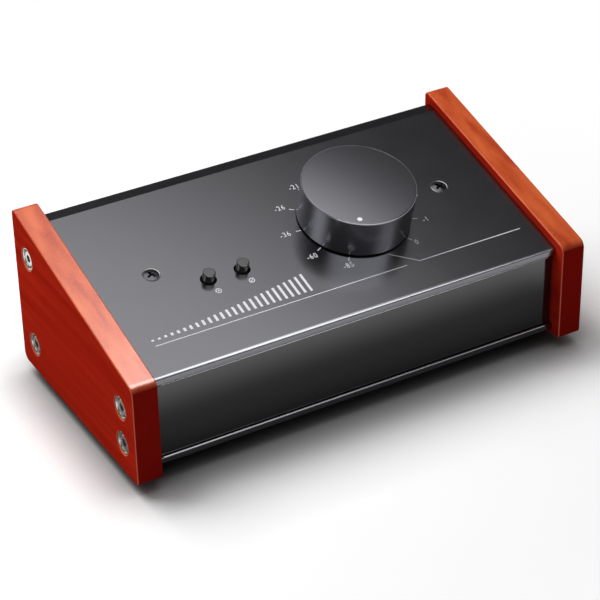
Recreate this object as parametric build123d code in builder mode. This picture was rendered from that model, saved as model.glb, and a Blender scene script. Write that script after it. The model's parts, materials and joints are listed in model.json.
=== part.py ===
from build123d import *
from math import atan2, cos, degrees, hypot, pi, radians, sin, tan
import os

# Studio monitor controller: a wedge-shaped aluminium case between two wooden cheeks, with a rotary
# level control and two latching push buttons on the sloping top, and sockets at the back.
# Millimetres. +X is the width, the front faces -Y and +Z is up. The origin is on the surface that
# the feet stand on, in the middle of the width and of the cheeks' depth.

# ---------------------------------------------------------------- driving dimensions
overall_width = 170.0
overall_depth = 86.0
floor_gap = 4.4  # the cheeks hang this far above the table

# wooden cheeks
cheek_thickness = 9.0
cheek_front_height = 35.9
cheek_back_height = 59.0
cheek_back_rake = 0.6  # the back edge leans forward by this much at the top
front_top_radius = 3.2
back_top_radius = 1.6
back_bottom_radius = 3.2
front_bottom_radius = 1.2
cheek_ease = 0.5  # rounding of the cheeks' long edges
counterbore_radius = 4.0
counterbore_depth = 4.2
counterbore_ease = 0.5

# extruded case
front_setback = 4.0
back_setback = 2.4
rear_land = 5.3  # the strip behind the crease that the top panel has along its back edge
rear_land_fall = 8.0  # degrees by which that strip is flatter than the panel
panel_drop = 2.8  # the top panel lies this far under the cheeks' top edge
bottom_setback = 1.8  # the case's floor lies this far above the cheeks' lower edge
wall = 1.5
front_lip_thickness = 1.0
back_lip_thickness = 1.5
front_lip = 2.2
back_lip_flat = 1.2  # straight part of the rear lip under its bend
bottom_lip = 2.3
front_bend_radius = 1.4
back_bend_radius = 1.4
bottom_bend_radius = 0.6
groove_rib = 1.0
groove_rib_length = 2.4

# front and rear panels
panel_thickness = 1.5
panel_slot_clearance = 0.1
panel_end_gap = 0.8
panel_edge_gap = 0.2

# screw channels along the case
channel_outer_radius = 2.3
channel_bore_radius = 1.25
channel_web = 1.4
channel_front_gap = 0.8  # behind the front panel
channel_back_gap = 2.4  # in front of the rear panel
channel_front_drop = 11.4  # under the top panel
channel_socket_gap = 1.1  # to the screws of the rear sockets

# screws
screw_radius = 1.5
screw_hole_radius = 1.7
thread_core_radius = 1.2
socket_head_radius = 2.8
socket_head_height = 3.0
hex_key_radius = 1.45
hex_key_depth = 1.6
socket_head_ease = 0.35
cheek_screw_bite = 9.0
cheek_washer_radius = 3.7
cheek_washer_thickness = 0.5
countersunk_head_radius = 2.85
countersunk_angle = 90.0
countersunk_clearance = 0.03
panel_screw_length = 8.0
cross_recess_span = 3.2
cross_recess_width = 0.65
cross_recess_depth = 1.0
cross_recess_turn = 20.0
pan_head_radius = 2.7
pan_head_height = 1.8

# feet
foot_radius = 6.0
foot_side_inset = 25.0
foot_front_inset = 17.0
foot_back_inset = 17.0
foot_recess_radius = 3.4
foot_recess_depth = 3.2
foot_screw_bite = 3.0
foot_ease = 0.6

# control board, hung under the top panel
board_depth = 16.0  # from the panel's outer face to the board's upper face
board_thickness = 1.6
board_end_gap = 14.0  # to each cheek
board_front_reach = 19.6  # from the dial's centre to the board's front edge
board_rear_gap = 0.6  # to the solder pins behind it
board_corner_radius = 2.0
standoff_end_inset = 6.7  # from the board's end
standoff_behind_dial = 1.4
standoff_across_flats = 5.5
board_screw_length = 6.0
board_hole_radius = 0.5

# level control
dial_x = 20.0
dial_back_inset = 44.87  # along the slope, from the cheeks' back edge
knob_radius = 19.5
knob_height = 14.7  # above the top panel
knob_lift = 0.7
knob_skirt_wall = 1.8
knob_roof = 4.2
knob_boss_radius = 7.0
knob_top_ease = 0.5
insert_radius = 5.0
insert_lift = 1.1  # above the bushing
insert_inset = 2.0  # how far the insert reaches up into the knob's roof
insert_clearance = 0.03
shaft_radius = 3.0
shaft_clearance = 0.05
shaft_end_gap = 0.1
shaft_flat = 0.6
set_screw_length = 3.4
set_screw_key_radius = 0.8
set_screw_access_radius = 1.7
pointer_radius = 0.85
pointer_depth = 0.6
pointer_inset = 2.4  # from the knob's edge
pointer_clearance = 0.02
dial_start_angle = 240.0  # direction of the lowest mark, from +X towards the back edge
pot_radius = 8.5
pot_can_wall = 0.8
pot_bushing_radius = 3.5
pot_bushing_top = 4.4
pot_bushing_flange_radius = 6.0
pot_bushing_flange = 1.2
pot_hole_clearance = 0.1
pot_washer_radius = 6.2
pot_washer_thickness = 0.6
pot_nut_across_flats = 10.0
pot_nut_thickness = 2.2
wafer_thickness = 1.2
wafer_bore_radius = 3.6
first_wafer_depth = 7.0
second_wafer_depth = 12.0
wafer_fit = 0.05
wiper_radius = 6.4
wiper_thickness = 0.8
wiper_gap = 0.3
wiper_hub = 1.0
wiper_arm_width = 2.4
shaft_tail = 0.5
terminal_pitch = 5.0
terminal_row_v = 6.4
terminal_half_thickness = 0.35
pin_below_board = 1.6

# push buttons
button_before_dial = 7.6
mono_x = -39.2
button_pitch = 12.4
button_hole_radius = 2.8
button_radius = 2.2
button_height = 3.4
button_skirt = 4.0
button_taper = 0.1
button_top_ease = 0.35
button_travel = 2.2
stem_radius = 1.2
stem_clearance = 0.05
stem_top = 1.0
stem_end_gap = 0.4  # left under the stem when the button is down
switch_side = 8.4
switch_height = 7.0
switch_floor = 1.0
spring_wire_radius = 0.2
spring_mean_radius = 1.75
spring_turns = 5
spring_seat_gap = 0.05
switch_pin_pitch_x = 2.5
switch_pin_pitch_v = 5.0
switch_pin_half = 0.3

# rear sockets
large_socket_count = 4
socket_height = 27.4  # above the cheeks' lower edge
flange_width = 26.0
flange_height = 31.0
flange_thickness = 2.0
flange_corner_radius = 2.6
flange_ease = 0.4
flange_screw_x = 9.5
flange_screw_z = 12.0
flange_screw_length = 7.0
barrel_radius = 11.6
barrel_depth = 16.5
barrel_clearance = 0.4
contact_ring_radius = 4.8
contact_radius = 1.2
contact_hole_clearance = 0.05
contact_angles = (30.0, 150.0, 270.0)
male_cavity_radius = 8.2
male_cavity_depth = 14.0
male_pin_setback = 2.5
key_width = 2.6
key_depth = 0.9
key_root = 0.6
pin_tip_ease = 0.4
jack_bore_radius = 3.2
jack_bore_depth = 15.0
plug_groove_inner_radius = 8.0
plug_groove_outer_radius = 9.7
plug_groove_depth = 11.0
contact_setback = 0.5  # behind the jack's bore
aux_bore_radius = 1.8
aux_bore_depth = 15.0
aux_nose_radius = 3.0
aux_nose_length = 2.6
aux_body_width = 11.0
aux_body_height = 10.0
aux_nut_radius = 4.3
aux_nut_thickness = 1.8
aux_nut_slot = 0.8
aux_pin_pitch = 3.2

# input and output board behind the sockets
io_board_end_gap = 3.0
io_board_floor_gap = 5.7
io_board_roof_gap = 1.7
solder_pin_half = 0.4
solder_pin_length = 2.2

# ribbon cable between the boards
ribbon_x = -6.0
ribbon_width = 12.7
ribbon_thickness = 0.9
header_width = 15.2
header_depth = 5.0
header_height = 6.0
control_header_before_dial = 11.6
io_header_height = 15.0
header_mouth = 2.0
header_wall_gap = 0.05
ribbon_lead = 4.0
ribbon_bend_radius = 3.0

# resistors on the control board
resistor_radius = 1.1
resistor_length = 6.2
resistor_pitch = 4.0
resistor_count = 4
resistor_x = -10.0
resistor_before_dial = 3.6
lead_half = 0.25
lead_reach = 5.0
lead_rise = 1.5

# ---------------------------------------------------------------- derived places
cheek_front_y = -overall_depth / 2
cheek_back_y = overall_depth / 2
cheek_bottom_z = floor_gap
cheek_inner_x = overall_width / 2 - cheek_thickness
slope = atan2(cheek_back_height - cheek_front_height, overall_depth - cheek_back_rake)
land_slope = slope - radians(rear_land_fall)
case_front_y = cheek_front_y + front_setback
case_back_y = cheek_back_y - back_setback
crease_y = case_back_y - rear_land

# The panel plane: local x is the width, local y ("v") runs up the slope, local z points outwards.
panel = Plane(
    origin=(
        0,
        cheek_front_y + panel_drop * sin(slope),
        cheek_bottom_z + cheek_front_height - panel_drop * cos(slope),
    ),
    x_dir=(1, 0, 0),
    z_dir=(0, -sin(slope), cos(slope)),
)


def on_panel(x, v, height=0.0):
    """The plane parallel to the top panel that is centred on (x, v), at a height above it."""
    origin = panel.from_local_coords((x, v, height))
    return Plane(origin=origin, x_dir=panel.x_dir, z_dir=panel.z_dir)


def facing_back(x, y, z):
    """A plane at a point that faces the back, with its local y upwards."""
    return Plane(origin=(x, y, z), x_dir=(-1, 0, 0), z_dir=(0, 1, 0))


def roof(y):
    """Height of the case's outer face: the top panel, and behind its crease the rear land."""
    land_drop = max(0, y - crease_y) * (tan(slope) - tan(land_slope))
    return panel.origin.Z + (y - panel.origin.Y) * tan(slope) - land_drop


def ceiling(y):
    """Height of the case's inner face under the top."""
    return roof(y) - wall / cos(slope)


def up_slope(y, height):
    """How far up the slope the point lies that is at y and at a height above the top panel."""
    return (y - panel.origin.Y + height * sin(slope)) / cos(slope)


case_bottom_z = cheek_bottom_z + bottom_setback
case_floor_z = case_bottom_z + wall
front_seam_z = roof(case_front_y) - front_lip
back_seam_z = roof(case_back_y) - back_bend_radius * tan((pi / 2 + land_slope) / 2) - back_lip_flat
low_seam_z = case_bottom_z + bottom_lip
slot = panel_thickness + panel_slot_clearance
front_slot_y = case_front_y + front_lip_thickness
back_slot_y = case_back_y - back_lip_thickness
channel_front_y = front_slot_y + panel_thickness + channel_front_gap + channel_outer_radius
channel_back_y = back_slot_y - panel_thickness - channel_back_gap - channel_outer_radius
socket_z = cheek_bottom_z + socket_height
channel_reach = flange_screw_z + thread_core_radius + channel_socket_gap + channel_outer_radius
channel_low_z = socket_z - channel_reach
channel_front_z = roof(channel_front_y) - channel_front_drop
channel_back_z = socket_z + channel_reach
cheek_screw_places = [
    (channel_front_y, channel_low_z),
    (channel_back_y, channel_low_z),
    (channel_front_y, channel_front_z),
    (channel_back_y, channel_back_z),
]
foot_places = [
    (side * (overall_width / 2 - foot_side_inset), y)
    for side in (-1, 1)
    for y in (cheek_front_y + foot_front_inset, cheek_back_y - foot_back_inset)
]
under_panel = -wall
countersunk_depth = (countersunk_head_radius - screw_radius) / tan(radians(countersunk_angle / 2))
board_top = -board_depth
board_under = board_top - board_thickness
rear_face_y = back_slot_y
rear_inner_y = rear_face_y - panel_thickness
flange_face_y = rear_face_y + flange_thickness
barrel_end_y = rear_inner_y - barrel_depth
io_board_back_y = barrel_end_y
io_board_front_y = io_board_back_y - board_thickness
rear_gap = (2 * cheek_inner_x - large_socket_count * flange_width - aux_body_width) / (large_socket_count + 2)
first_socket_x = rear_gap + flange_width / 2 - cheek_inner_x
socket_xs = [first_socket_x + place * (flange_width + rear_gap) for place in range(large_socket_count)]
input_xs = socket_xs[: large_socket_count // 2]
output_xs = socket_xs[large_socket_count // 2 :]
aux_x = cheek_inner_x - rear_gap - aux_body_width / 2
dial_v = hypot(overall_depth - cheek_back_rake, cheek_back_height - cheek_front_height) - dial_back_inset
button_v = dial_v - button_before_dial
standoff_v = dial_v + standoff_behind_dial
board_half_width = cheek_inner_x - board_end_gap
board_v_low = dial_v - board_front_reach
board_v_high = up_slope(io_board_front_y - solder_pin_length - board_rear_gap, board_under)
standoff_x = board_half_width - standoff_end_inset
flange_screw_offsets = ((flange_screw_x, flange_screw_z), (-flange_screw_x, -flange_screw_z))
button_xs = {"mono": mono_x, "mute": mono_x + button_pitch}
panel_axis = Axis(panel.origin, panel.z_dir)
insert_low = pot_bushing_top + insert_lift
insert_top = knob_height - knob_roof + insert_inset
shaft_top = insert_top - shaft_end_gap
set_screw_plane = Plane(
    origin=panel.from_local_coords((dial_x, dial_v, (insert_low + insert_top) / 2)),
    x_dir=(-1, 0, 0),
    z_dir=panel.y_dir,
)
pointer_angle = radians(dial_start_angle)
pointer_plane = on_panel(
    dial_x + (knob_radius - pointer_inset) * cos(pointer_angle),
    dial_v + (knob_radius - pointer_inset) * sin(pointer_angle),
    knob_height,
)
shaft_bottom_depth = second_wafer_depth + wiper_gap + wiper_thickness + shaft_tail
stem_length = stem_top + board_depth - switch_floor - button_travel - stem_end_gap
button_taper_angle = degrees(atan2(button_taper, button_skirt + button_height))
aux_pin_offsets = [(column * aux_pin_pitch, 0) for column in (-1, 0, 1)]

os.makedirs("parts", exist_ok=True)


def nearest_vertex(sketch, across, up):
    """The vertex of a sketch that is nearest to a point in its own plane."""
    return sketch.vertices().sort_by_distance((across, up, 0))[0]


def pan_head_screw(head, length):
    """A cross-recessed pan head that sits on the plane head, and its thread behind it."""
    with BuildPart() as screw:
        with BuildSketch(head):
            Circle(pan_head_radius)
        extrude(amount=pan_head_height)
        chamfer(screw.faces().sort_by(Axis(head.origin, head.z_dir))[-1].edges(), socket_head_ease)
        with BuildSketch(head):
            Circle(thread_core_radius)
        extrude(amount=-length)
        with BuildSketch(head.offset(pan_head_height)):
            Rectangle(cross_recess_span, cross_recess_width)
            Rectangle(cross_recess_width, cross_recess_span)
        extrude(amount=-cross_recess_depth, mode=Mode.SUBTRACT)
    return screw.part


def write(builder, label):
    """Labels a finished sub-part and writes its STEP file."""
    builder.part.label = label
    export_step(builder.part, f"parts/{label}.step")


# ---------------------------------------------------------------- case extrusions
with BuildPart() as top_shell:
    front_rib_y = front_slot_y + slot
    back_rib_y = back_slot_y - slot
    with BuildSketch(Plane.YZ) as top_profile:
        with BuildLine():
            Polyline(
                (case_front_y, front_seam_z),
                (case_front_y, roof(case_front_y)),
                (crease_y, roof(crease_y)),
                (case_back_y, roof(case_back_y)),
                (case_back_y, back_seam_z),
                (back_slot_y, back_seam_z),
                (back_slot_y, ceiling(back_slot_y)),
                (back_rib_y, ceiling(back_rib_y)),
                (back_rib_y, back_seam_z - groove_rib_length),
                (back_rib_y - groove_rib, back_seam_z - groove_rib_length),
                (back_rib_y - groove_rib, ceiling(back_rib_y - groove_rib)),
                (crease_y, ceiling(crease_y)),
                (front_rib_y + groove_rib, ceiling(front_rib_y + groove_rib)),
                (front_rib_y + groove_rib, front_seam_z - groove_rib_length),
                (front_rib_y, front_seam_z - groove_rib_length),
                (front_rib_y, ceiling(front_rib_y)),
                (front_slot_y, ceiling(front_slot_y)),
                (front_slot_y, front_seam_z),
                close=True,
            )
        make_face()
        fillet(nearest_vertex(top_profile, case_front_y, roof(case_front_y)), front_bend_radius)
        fillet(nearest_vertex(top_profile, case_back_y, roof(case_back_y)), back_bend_radius)
        for y, z in ((channel_front_y, channel_front_z), (channel_back_y, channel_back_z)):
            web_top = ceiling(y) + wall / 2
            with Locations((y, z)):
                Circle(channel_outer_radius)
            with Locations((y, (z + web_top) / 2)):
                Rectangle(channel_web, web_top - z)
            with Locations((y, z)):
                Circle(channel_bore_radius, mode=Mode.SUBTRACT)
    extrude(amount=cheek_inner_x, both=True)
    for side in (-1, 1):
        with BuildSketch(on_panel(side * standoff_x, standoff_v)):
            Circle(countersunk_head_radius + countersunk_clearance)
        extrude(amount=-countersunk_depth, taper=countersunk_angle / 2, mode=Mode.SUBTRACT)
        with BuildSketch(on_panel(side * standoff_x, standoff_v)):
            Circle(screw_radius + countersunk_clearance)
        extrude(amount=-2 * wall, mode=Mode.SUBTRACT)
    with BuildSketch(on_panel(dial_x, dial_v)):
        Circle(pot_bushing_radius + pot_hole_clearance)
    extrude(amount=-2 * wall, mode=Mode.SUBTRACT)
    for x in button_xs.values():
        with BuildSketch(on_panel(x, button_v)):
            Circle(button_hole_radius)
        extrude(amount=-2 * wall, mode=Mode.SUBTRACT)
write(top_shell, "top_shell")

with BuildPart() as bottom_shell:
    with BuildSketch(Plane.YZ) as bottom_profile:
        with BuildLine():
            Polyline(
                (case_front_y, case_bottom_z),
                (case_front_y, low_seam_z),
                (front_slot_y, low_seam_z),
                (front_slot_y, case_floor_z),
                (front_slot_y + slot, case_floor_z),
                (front_slot_y + slot, low_seam_z + groove_rib_length),
                (front_slot_y + slot + groove_rib, low_seam_z + groove_rib_length),
                (front_slot_y + slot + groove_rib, case_floor_z),
                (back_slot_y - slot - groove_rib, case_floor_z),
                (back_slot_y - slot - groove_rib, low_seam_z + groove_rib_length),
                (back_slot_y - slot, low_seam_z + groove_rib_length),
                (back_slot_y - slot, case_floor_z),
                (back_slot_y, case_floor_z),
                (back_slot_y, low_seam_z),
                (case_back_y, low_seam_z),
                (case_back_y, case_bottom_z),
                close=True,
            )
        make_face()
        for y in (case_front_y, case_back_y):
            fillet(nearest_vertex(bottom_profile, y, case_bottom_z), bottom_bend_radius)
        for y in (channel_front_y, channel_back_y):
            web_low = case_floor_z - wall / 2
            with Locations((y, channel_low_z)):
                Circle(channel_outer_radius)
            with Locations((y, (web_low + channel_low_z) / 2)):
                Rectangle(channel_web, channel_low_z - web_low)
            with Locations((y, channel_low_z)):
                Circle(channel_bore_radius, mode=Mode.SUBTRACT)
    extrude(amount=cheek_inner_x, both=True)
    with BuildSketch(Plane.XY.offset(case_bottom_z)):
        with Locations(*foot_places):
            Circle(channel_bore_radius)
    extrude(amount=wall, mode=Mode.SUBTRACT)
write(bottom_shell, "bottom_shell")

# ---------------------------------------------------------------- panels in the grooves
panel_half_width = cheek_inner_x - panel_end_gap
front_panel_low = case_floor_z + panel_edge_gap
front_panel_high = ceiling(front_slot_y) - panel_edge_gap

with BuildPart() as front_panel:
    with BuildSketch(facing_back(0, front_slot_y, (front_panel_low + front_panel_high) / 2)):
        Rectangle(2 * panel_half_width, front_panel_high - front_panel_low)
    extrude(amount=panel_thickness)
write(front_panel, "front_panel")

rear_panel_low = case_floor_z + panel_edge_gap
rear_panel_high = ceiling(rear_inner_y) - panel_edge_gap

with BuildPart() as rear_panel:
    with BuildSketch(facing_back(0, rear_face_y, (rear_panel_low + rear_panel_high) / 2)):
        Rectangle(2 * panel_half_width, rear_panel_high - rear_panel_low)
    extrude(amount=-panel_thickness)
    for x in socket_xs:
        with BuildSketch(facing_back(x, rear_face_y, socket_z)):
            Circle(barrel_radius + barrel_clearance)
            with Locations(*flange_screw_offsets):
                Circle(screw_hole_radius)
        extrude(amount=-panel_thickness, mode=Mode.SUBTRACT)
    with BuildSketch(facing_back(aux_x, rear_face_y, socket_z)):
        Circle(aux_nose_radius + pot_hole_clearance)
    extrude(amount=-panel_thickness, mode=Mode.SUBTRACT)
write(rear_panel, "rear_panel")

# ---------------------------------------------------------------- wooden cheeks and their screws
for cheek_name, side in (("left_cheek", -1), ("right_cheek", 1)):
    inner_face = Plane(origin=(side * cheek_inner_x, 0, 0), x_dir=(0, side, 0), z_dir=(side, 0, 0))
    outer_face = inner_face.offset(cheek_thickness)
    with BuildPart() as cheek:
        with BuildSketch(inner_face) as cheek_profile:
            with BuildLine():
                Polyline(
                    (side * cheek_front_y, cheek_bottom_z),
                    (side * cheek_front_y, cheek_bottom_z + cheek_front_height),
                    (side * (cheek_back_y - cheek_back_rake), cheek_bottom_z + cheek_back_height),
                    (side * cheek_back_y, cheek_bottom_z),
                    close=True,
                )
            make_face()
            for y, z, radius in (
                (cheek_front_y, cheek_bottom_z, front_bottom_radius),
                (cheek_front_y, cheek_bottom_z + cheek_front_height, front_top_radius),
                (cheek_back_y - cheek_back_rake, cheek_bottom_z + cheek_back_height, back_top_radius),
                (cheek_back_y, cheek_bottom_z, back_bottom_radius),
            ):
                fillet(nearest_vertex(cheek_profile, side * y, z), radius)
        extrude(amount=cheek_thickness)
        fillet(cheek.faces().filter_by(Axis.X).edges(), cheek_ease)
        for y, z in cheek_screw_places:
            with BuildSketch(outer_face):
                with Locations((side * y, z)):
                    Circle(counterbore_radius)
            extrude(amount=-counterbore_depth, mode=Mode.SUBTRACT)
            with BuildSketch(outer_face):
                with Locations((side * y, z)):
                    Circle(screw_hole_radius)
            extrude(amount=-cheek_thickness, mode=Mode.SUBTRACT)
        rims = cheek.faces().filter_by(GeomType.PLANE).sort_by(Axis.X)[-1 if side > 0 else 0].inner_wires()
        fillet([edge for wire in rims for edge in wire.edges()], counterbore_ease)
    write(cheek, cheek_name)

    counterbore_floor = outer_face.offset(-counterbore_depth)

    with BuildPart() as cheek_washers:
        with BuildSketch(counterbore_floor):
            for y, z in cheek_screw_places:
                with Locations((side * y, z)):
                    Circle(cheek_washer_radius)
                    Circle(screw_hole_radius, mode=Mode.SUBTRACT)
        extrude(amount=cheek_washer_thickness)
    write(cheek_washers, f"{cheek_name}_washers")

    with BuildPart() as cheek_screws:
        for y, z in cheek_screw_places:
            seat = Plane(
                origin=counterbore_floor.from_local_coords((side * y, z, cheek_washer_thickness)),
                x_dir=counterbore_floor.x_dir,
                z_dir=counterbore_floor.z_dir,
            )
            with BuildSketch(seat):
                Circle(socket_head_radius)
            extrude(amount=socket_head_height)
            with BuildSketch(seat):
                Circle(screw_radius)
            extrude(amount=-(cheek_washer_thickness + cheek_thickness - counterbore_depth))
            with BuildSketch(inner_face):
                with Locations((side * y, z)):
                    Circle(thread_core_radius)
            extrude(amount=-cheek_screw_bite)
            with BuildSketch(seat.offset(socket_head_height)):
                RegularPolygon(hex_key_radius, 6)
            extrude(amount=-hex_key_depth, mode=Mode.SUBTRACT)
        top_faces = cheek_screws.faces().filter_by(Axis.X).group_by(Axis.X)[-1 if side > 0 else 0]
        chamfer([face.outer_wire().edges()[0] for face in top_faces], socket_head_ease)
    write(cheek_screws, f"{cheek_name}_screws")

# ---------------------------------------------------------------- feet
foot_height = case_bottom_z

with BuildPart() as rubber_feet:
    for x, y in foot_places:
        with BuildSketch(Plane((x, y, 0))):
            Circle(foot_radius)
            Circle(foot_recess_radius, mode=Mode.SUBTRACT)
        extrude(amount=foot_recess_depth)
        with BuildSketch(Plane((x, y, foot_recess_depth))):
            Circle(foot_radius)
            Circle(screw_hole_radius, mode=Mode.SUBTRACT)
        extrude(amount=foot_height - foot_recess_depth)
    outer_rims = rubber_feet.edges().filter_by(GeomType.CIRCLE).group_by(Axis.Z)[0]
    chamfer([edge for edge in outer_rims if edge.radius > foot_recess_radius], foot_ease)
write(rubber_feet, "rubber_feet")

foot_screw_length = foot_height - foot_recess_depth + foot_screw_bite
foot_screw_seats = [
    Plane(origin=(x, y, foot_recess_depth), x_dir=(1, 0, 0), z_dir=(0, 0, -1)) for x, y in foot_places
]

with BuildPart() as foot_screws:
    add([pan_head_screw(seat, foot_screw_length) for seat in foot_screw_seats])
write(foot_screws, "foot_screws")

# ---------------------------------------------------------------- control board and its carriers
with BuildPart() as panel_screws:
    for side in (-1, 1):
        head_plane = on_panel(side * standoff_x, standoff_v)
        with BuildSketch(head_plane):
            Circle(countersunk_head_radius)
        extrude(amount=-countersunk_depth, taper=countersunk_angle / 2)
        with BuildSketch(head_plane):
            Circle(screw_radius)
        extrude(amount=-wall)
        with BuildSketch(head_plane):
            Circle(thread_core_radius)
        extrude(amount=-panel_screw_length)
        with BuildSketch(head_plane):
            Rectangle(cross_recess_span, cross_recess_width, rotation=cross_recess_turn)
            Rectangle(cross_recess_width, cross_recess_span, rotation=cross_recess_turn)
        extrude(amount=-cross_recess_depth, mode=Mode.SUBTRACT)
write(panel_screws, "panel_screws")

with BuildPart() as board_standoffs:
    for side in (-1, 1):
        with BuildSketch(on_panel(side * standoff_x, standoff_v, under_panel)):
            RegularPolygon(standoff_across_flats / 2, 6, major_radius=False)
            Circle(channel_bore_radius, mode=Mode.SUBTRACT)
        extrude(amount=board_top - under_panel)
write(board_standoffs, "board_standoffs")

board_screw_seats = [
    Plane(origin=under.origin, x_dir=under.x_dir, z_dir=-under.z_dir)
    for under in (on_panel(side * standoff_x, standoff_v, board_under) for side in (-1, 1))
]

with BuildPart() as board_screws:
    add([pan_head_screw(seat, board_screw_length) for seat in board_screw_seats])
write(board_screws, "board_screws")

board_middle_v = (board_v_low + board_v_high) / 2
terminal_offsets = [
    (column * terminal_pitch, row * terminal_row_v) for row in (-1, 1) for column in (-1, 0, 1)
]
switch_pin_offsets = [
    (column * switch_pin_pitch_x, row * switch_pin_pitch_v / 2) for row in (-1, 1) for column in (-1, 0, 1)
]
resistor_places = [
    (resistor_x, dial_v - resistor_before_dial + step * resistor_pitch) for step in range(resistor_count)
]

with BuildPart() as control_board:
    with BuildSketch(on_panel(0, board_middle_v, board_top)):
        RectangleRounded(2 * board_half_width, board_v_high - board_v_low, board_corner_radius)
    extrude(amount=-board_thickness)
    with BuildSketch(on_panel(0, 0, board_top)):
        with Locations((-standoff_x, standoff_v), (standoff_x, standoff_v)):
            Circle(screw_hole_radius)
        with Locations(*[(dial_x + x, dial_v + v) for x, v in terminal_offsets]):
            Circle(board_hole_radius)
        for button_x in button_xs.values():
            with Locations(*[(button_x + x, button_v + v) for x, v in switch_pin_offsets]):
                Circle(board_hole_radius)
        for x, v in resistor_places:
            with Locations((x - lead_reach, v), (x + lead_reach, v)):
                Circle(board_hole_radius)
    extrude(amount=-board_thickness, mode=Mode.SUBTRACT)
write(control_board, "control_board")

with BuildPart() as summing_resistors:
    for x, v in resistor_places:
        end = on_panel(x, v, board_top + resistor_radius + lead_rise)
        across = Plane(origin=end.origin, x_dir=end.y_dir, z_dir=end.x_dir)
        with BuildSketch(across):
            Circle(resistor_radius)
        extrude(amount=resistor_length / 2, both=True)
        with BuildSketch(across):
            Rectangle(2 * lead_half, 2 * lead_half)
        extrude(amount=lead_reach + lead_half, both=True)
        for side in (-1, 1):
            with BuildSketch(on_panel(x + side * lead_reach, v, board_top + resistor_radius + lead_rise)):
                Rectangle(2 * lead_half, 2 * lead_half)
            extrude(amount=-(resistor_radius + lead_rise + board_thickness + pin_below_board))
write(summing_resistors, "summing_resistors")

# ---------------------------------------------------------------- level control
can_height = board_depth - wall

with BuildPart() as pot_housing:
    with BuildSketch(on_panel(dial_x, dial_v, under_panel - pot_bushing_flange)):
        Circle(pot_radius)
        Circle(pot_bushing_flange_radius, mode=Mode.SUBTRACT)
    extrude(amount=pot_bushing_flange)
    with BuildSketch(on_panel(dial_x, dial_v, under_panel - pot_bushing_flange)):
        Circle(pot_radius)
        Circle(pot_radius - pot_can_wall, mode=Mode.SUBTRACT)
    extrude(amount=-(can_height - pot_bushing_flange))
write(pot_housing, "pot_housing")

with BuildPart() as pot_bushing:
    with BuildSketch(on_panel(dial_x, dial_v, under_panel - pot_bushing_flange)):
        Circle(pot_bushing_flange_radius)
    extrude(amount=pot_bushing_flange)
    with BuildSketch(on_panel(dial_x, dial_v, under_panel)):
        Circle(pot_bushing_radius)
    extrude(amount=pot_bushing_top - under_panel)
    with BuildSketch(on_panel(dial_x, dial_v, pot_bushing_top)):
        Circle(shaft_radius + shaft_clearance)
    extrude(amount=-(pot_bushing_top + wall + pot_bushing_flange), mode=Mode.SUBTRACT)
write(pot_bushing, "pot_bushing")

with BuildPart() as pot_washer:
    with BuildSketch(on_panel(dial_x, dial_v)):
        Circle(pot_washer_radius)
        Circle(pot_bushing_radius + shaft_clearance, mode=Mode.SUBTRACT)
    extrude(amount=pot_washer_thickness)
write(pot_washer, "pot_washer")

with BuildPart() as pot_nut:
    with BuildSketch(on_panel(dial_x, dial_v, pot_washer_thickness)):
        RegularPolygon(pot_nut_across_flats / 2, 6, major_radius=False)
        Circle(pot_bushing_radius + shaft_clearance, mode=Mode.SUBTRACT)
    extrude(amount=pot_nut_thickness)
write(pot_nut, "pot_nut")

with BuildPart() as pot_wafers:
    for depth in (first_wafer_depth, second_wafer_depth):
        with BuildSketch(on_panel(dial_x, dial_v, -depth)):
            Circle(pot_radius - pot_can_wall - wafer_fit)
            Circle(wafer_bore_radius, mode=Mode.SUBTRACT)
        extrude(amount=wafer_thickness)
write(pot_wafers, "pot_wafers")

with BuildPart() as pot_wipers:
    for depth in (first_wafer_depth, second_wafer_depth):
        with BuildSketch(on_panel(dial_x, dial_v, -depth - wiper_gap)):
            Circle(shaft_radius + wiper_hub)
            with Locations((0, wiper_radius / 2)):
                Rectangle(wiper_arm_width, wiper_radius)
            Circle(shaft_radius + wafer_fit, mode=Mode.SUBTRACT)
        extrude(amount=-wiper_thickness)
write(pot_wipers, "pot_wipers")

with BuildPart() as pot_shaft:
    with BuildSketch(on_panel(dial_x, dial_v, shaft_top)):
        Circle(shaft_radius)
    extrude(amount=-(shaft_top + shaft_bottom_depth))
    flat = on_panel(dial_x, dial_v + shaft_radius - shaft_flat / 2, shaft_top)
    with BuildSketch(flat):
        Rectangle(2 * shaft_radius, shaft_flat)
    extrude(amount=-(shaft_top - pot_bushing_top - knob_lift), mode=Mode.SUBTRACT)
write(pot_shaft, "pot_shaft")

with BuildPart() as pot_terminals:
    with BuildSketch(on_panel(dial_x, dial_v, board_top)):
        with Locations(*terminal_offsets):
            Rectangle(2 * terminal_half_thickness, 2 * terminal_half_thickness)
    extrude(amount=-(board_thickness + pin_below_board))
write(pot_terminals, "pot_terminals")

knob_hollow_height = knob_height - knob_roof - knob_lift

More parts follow.
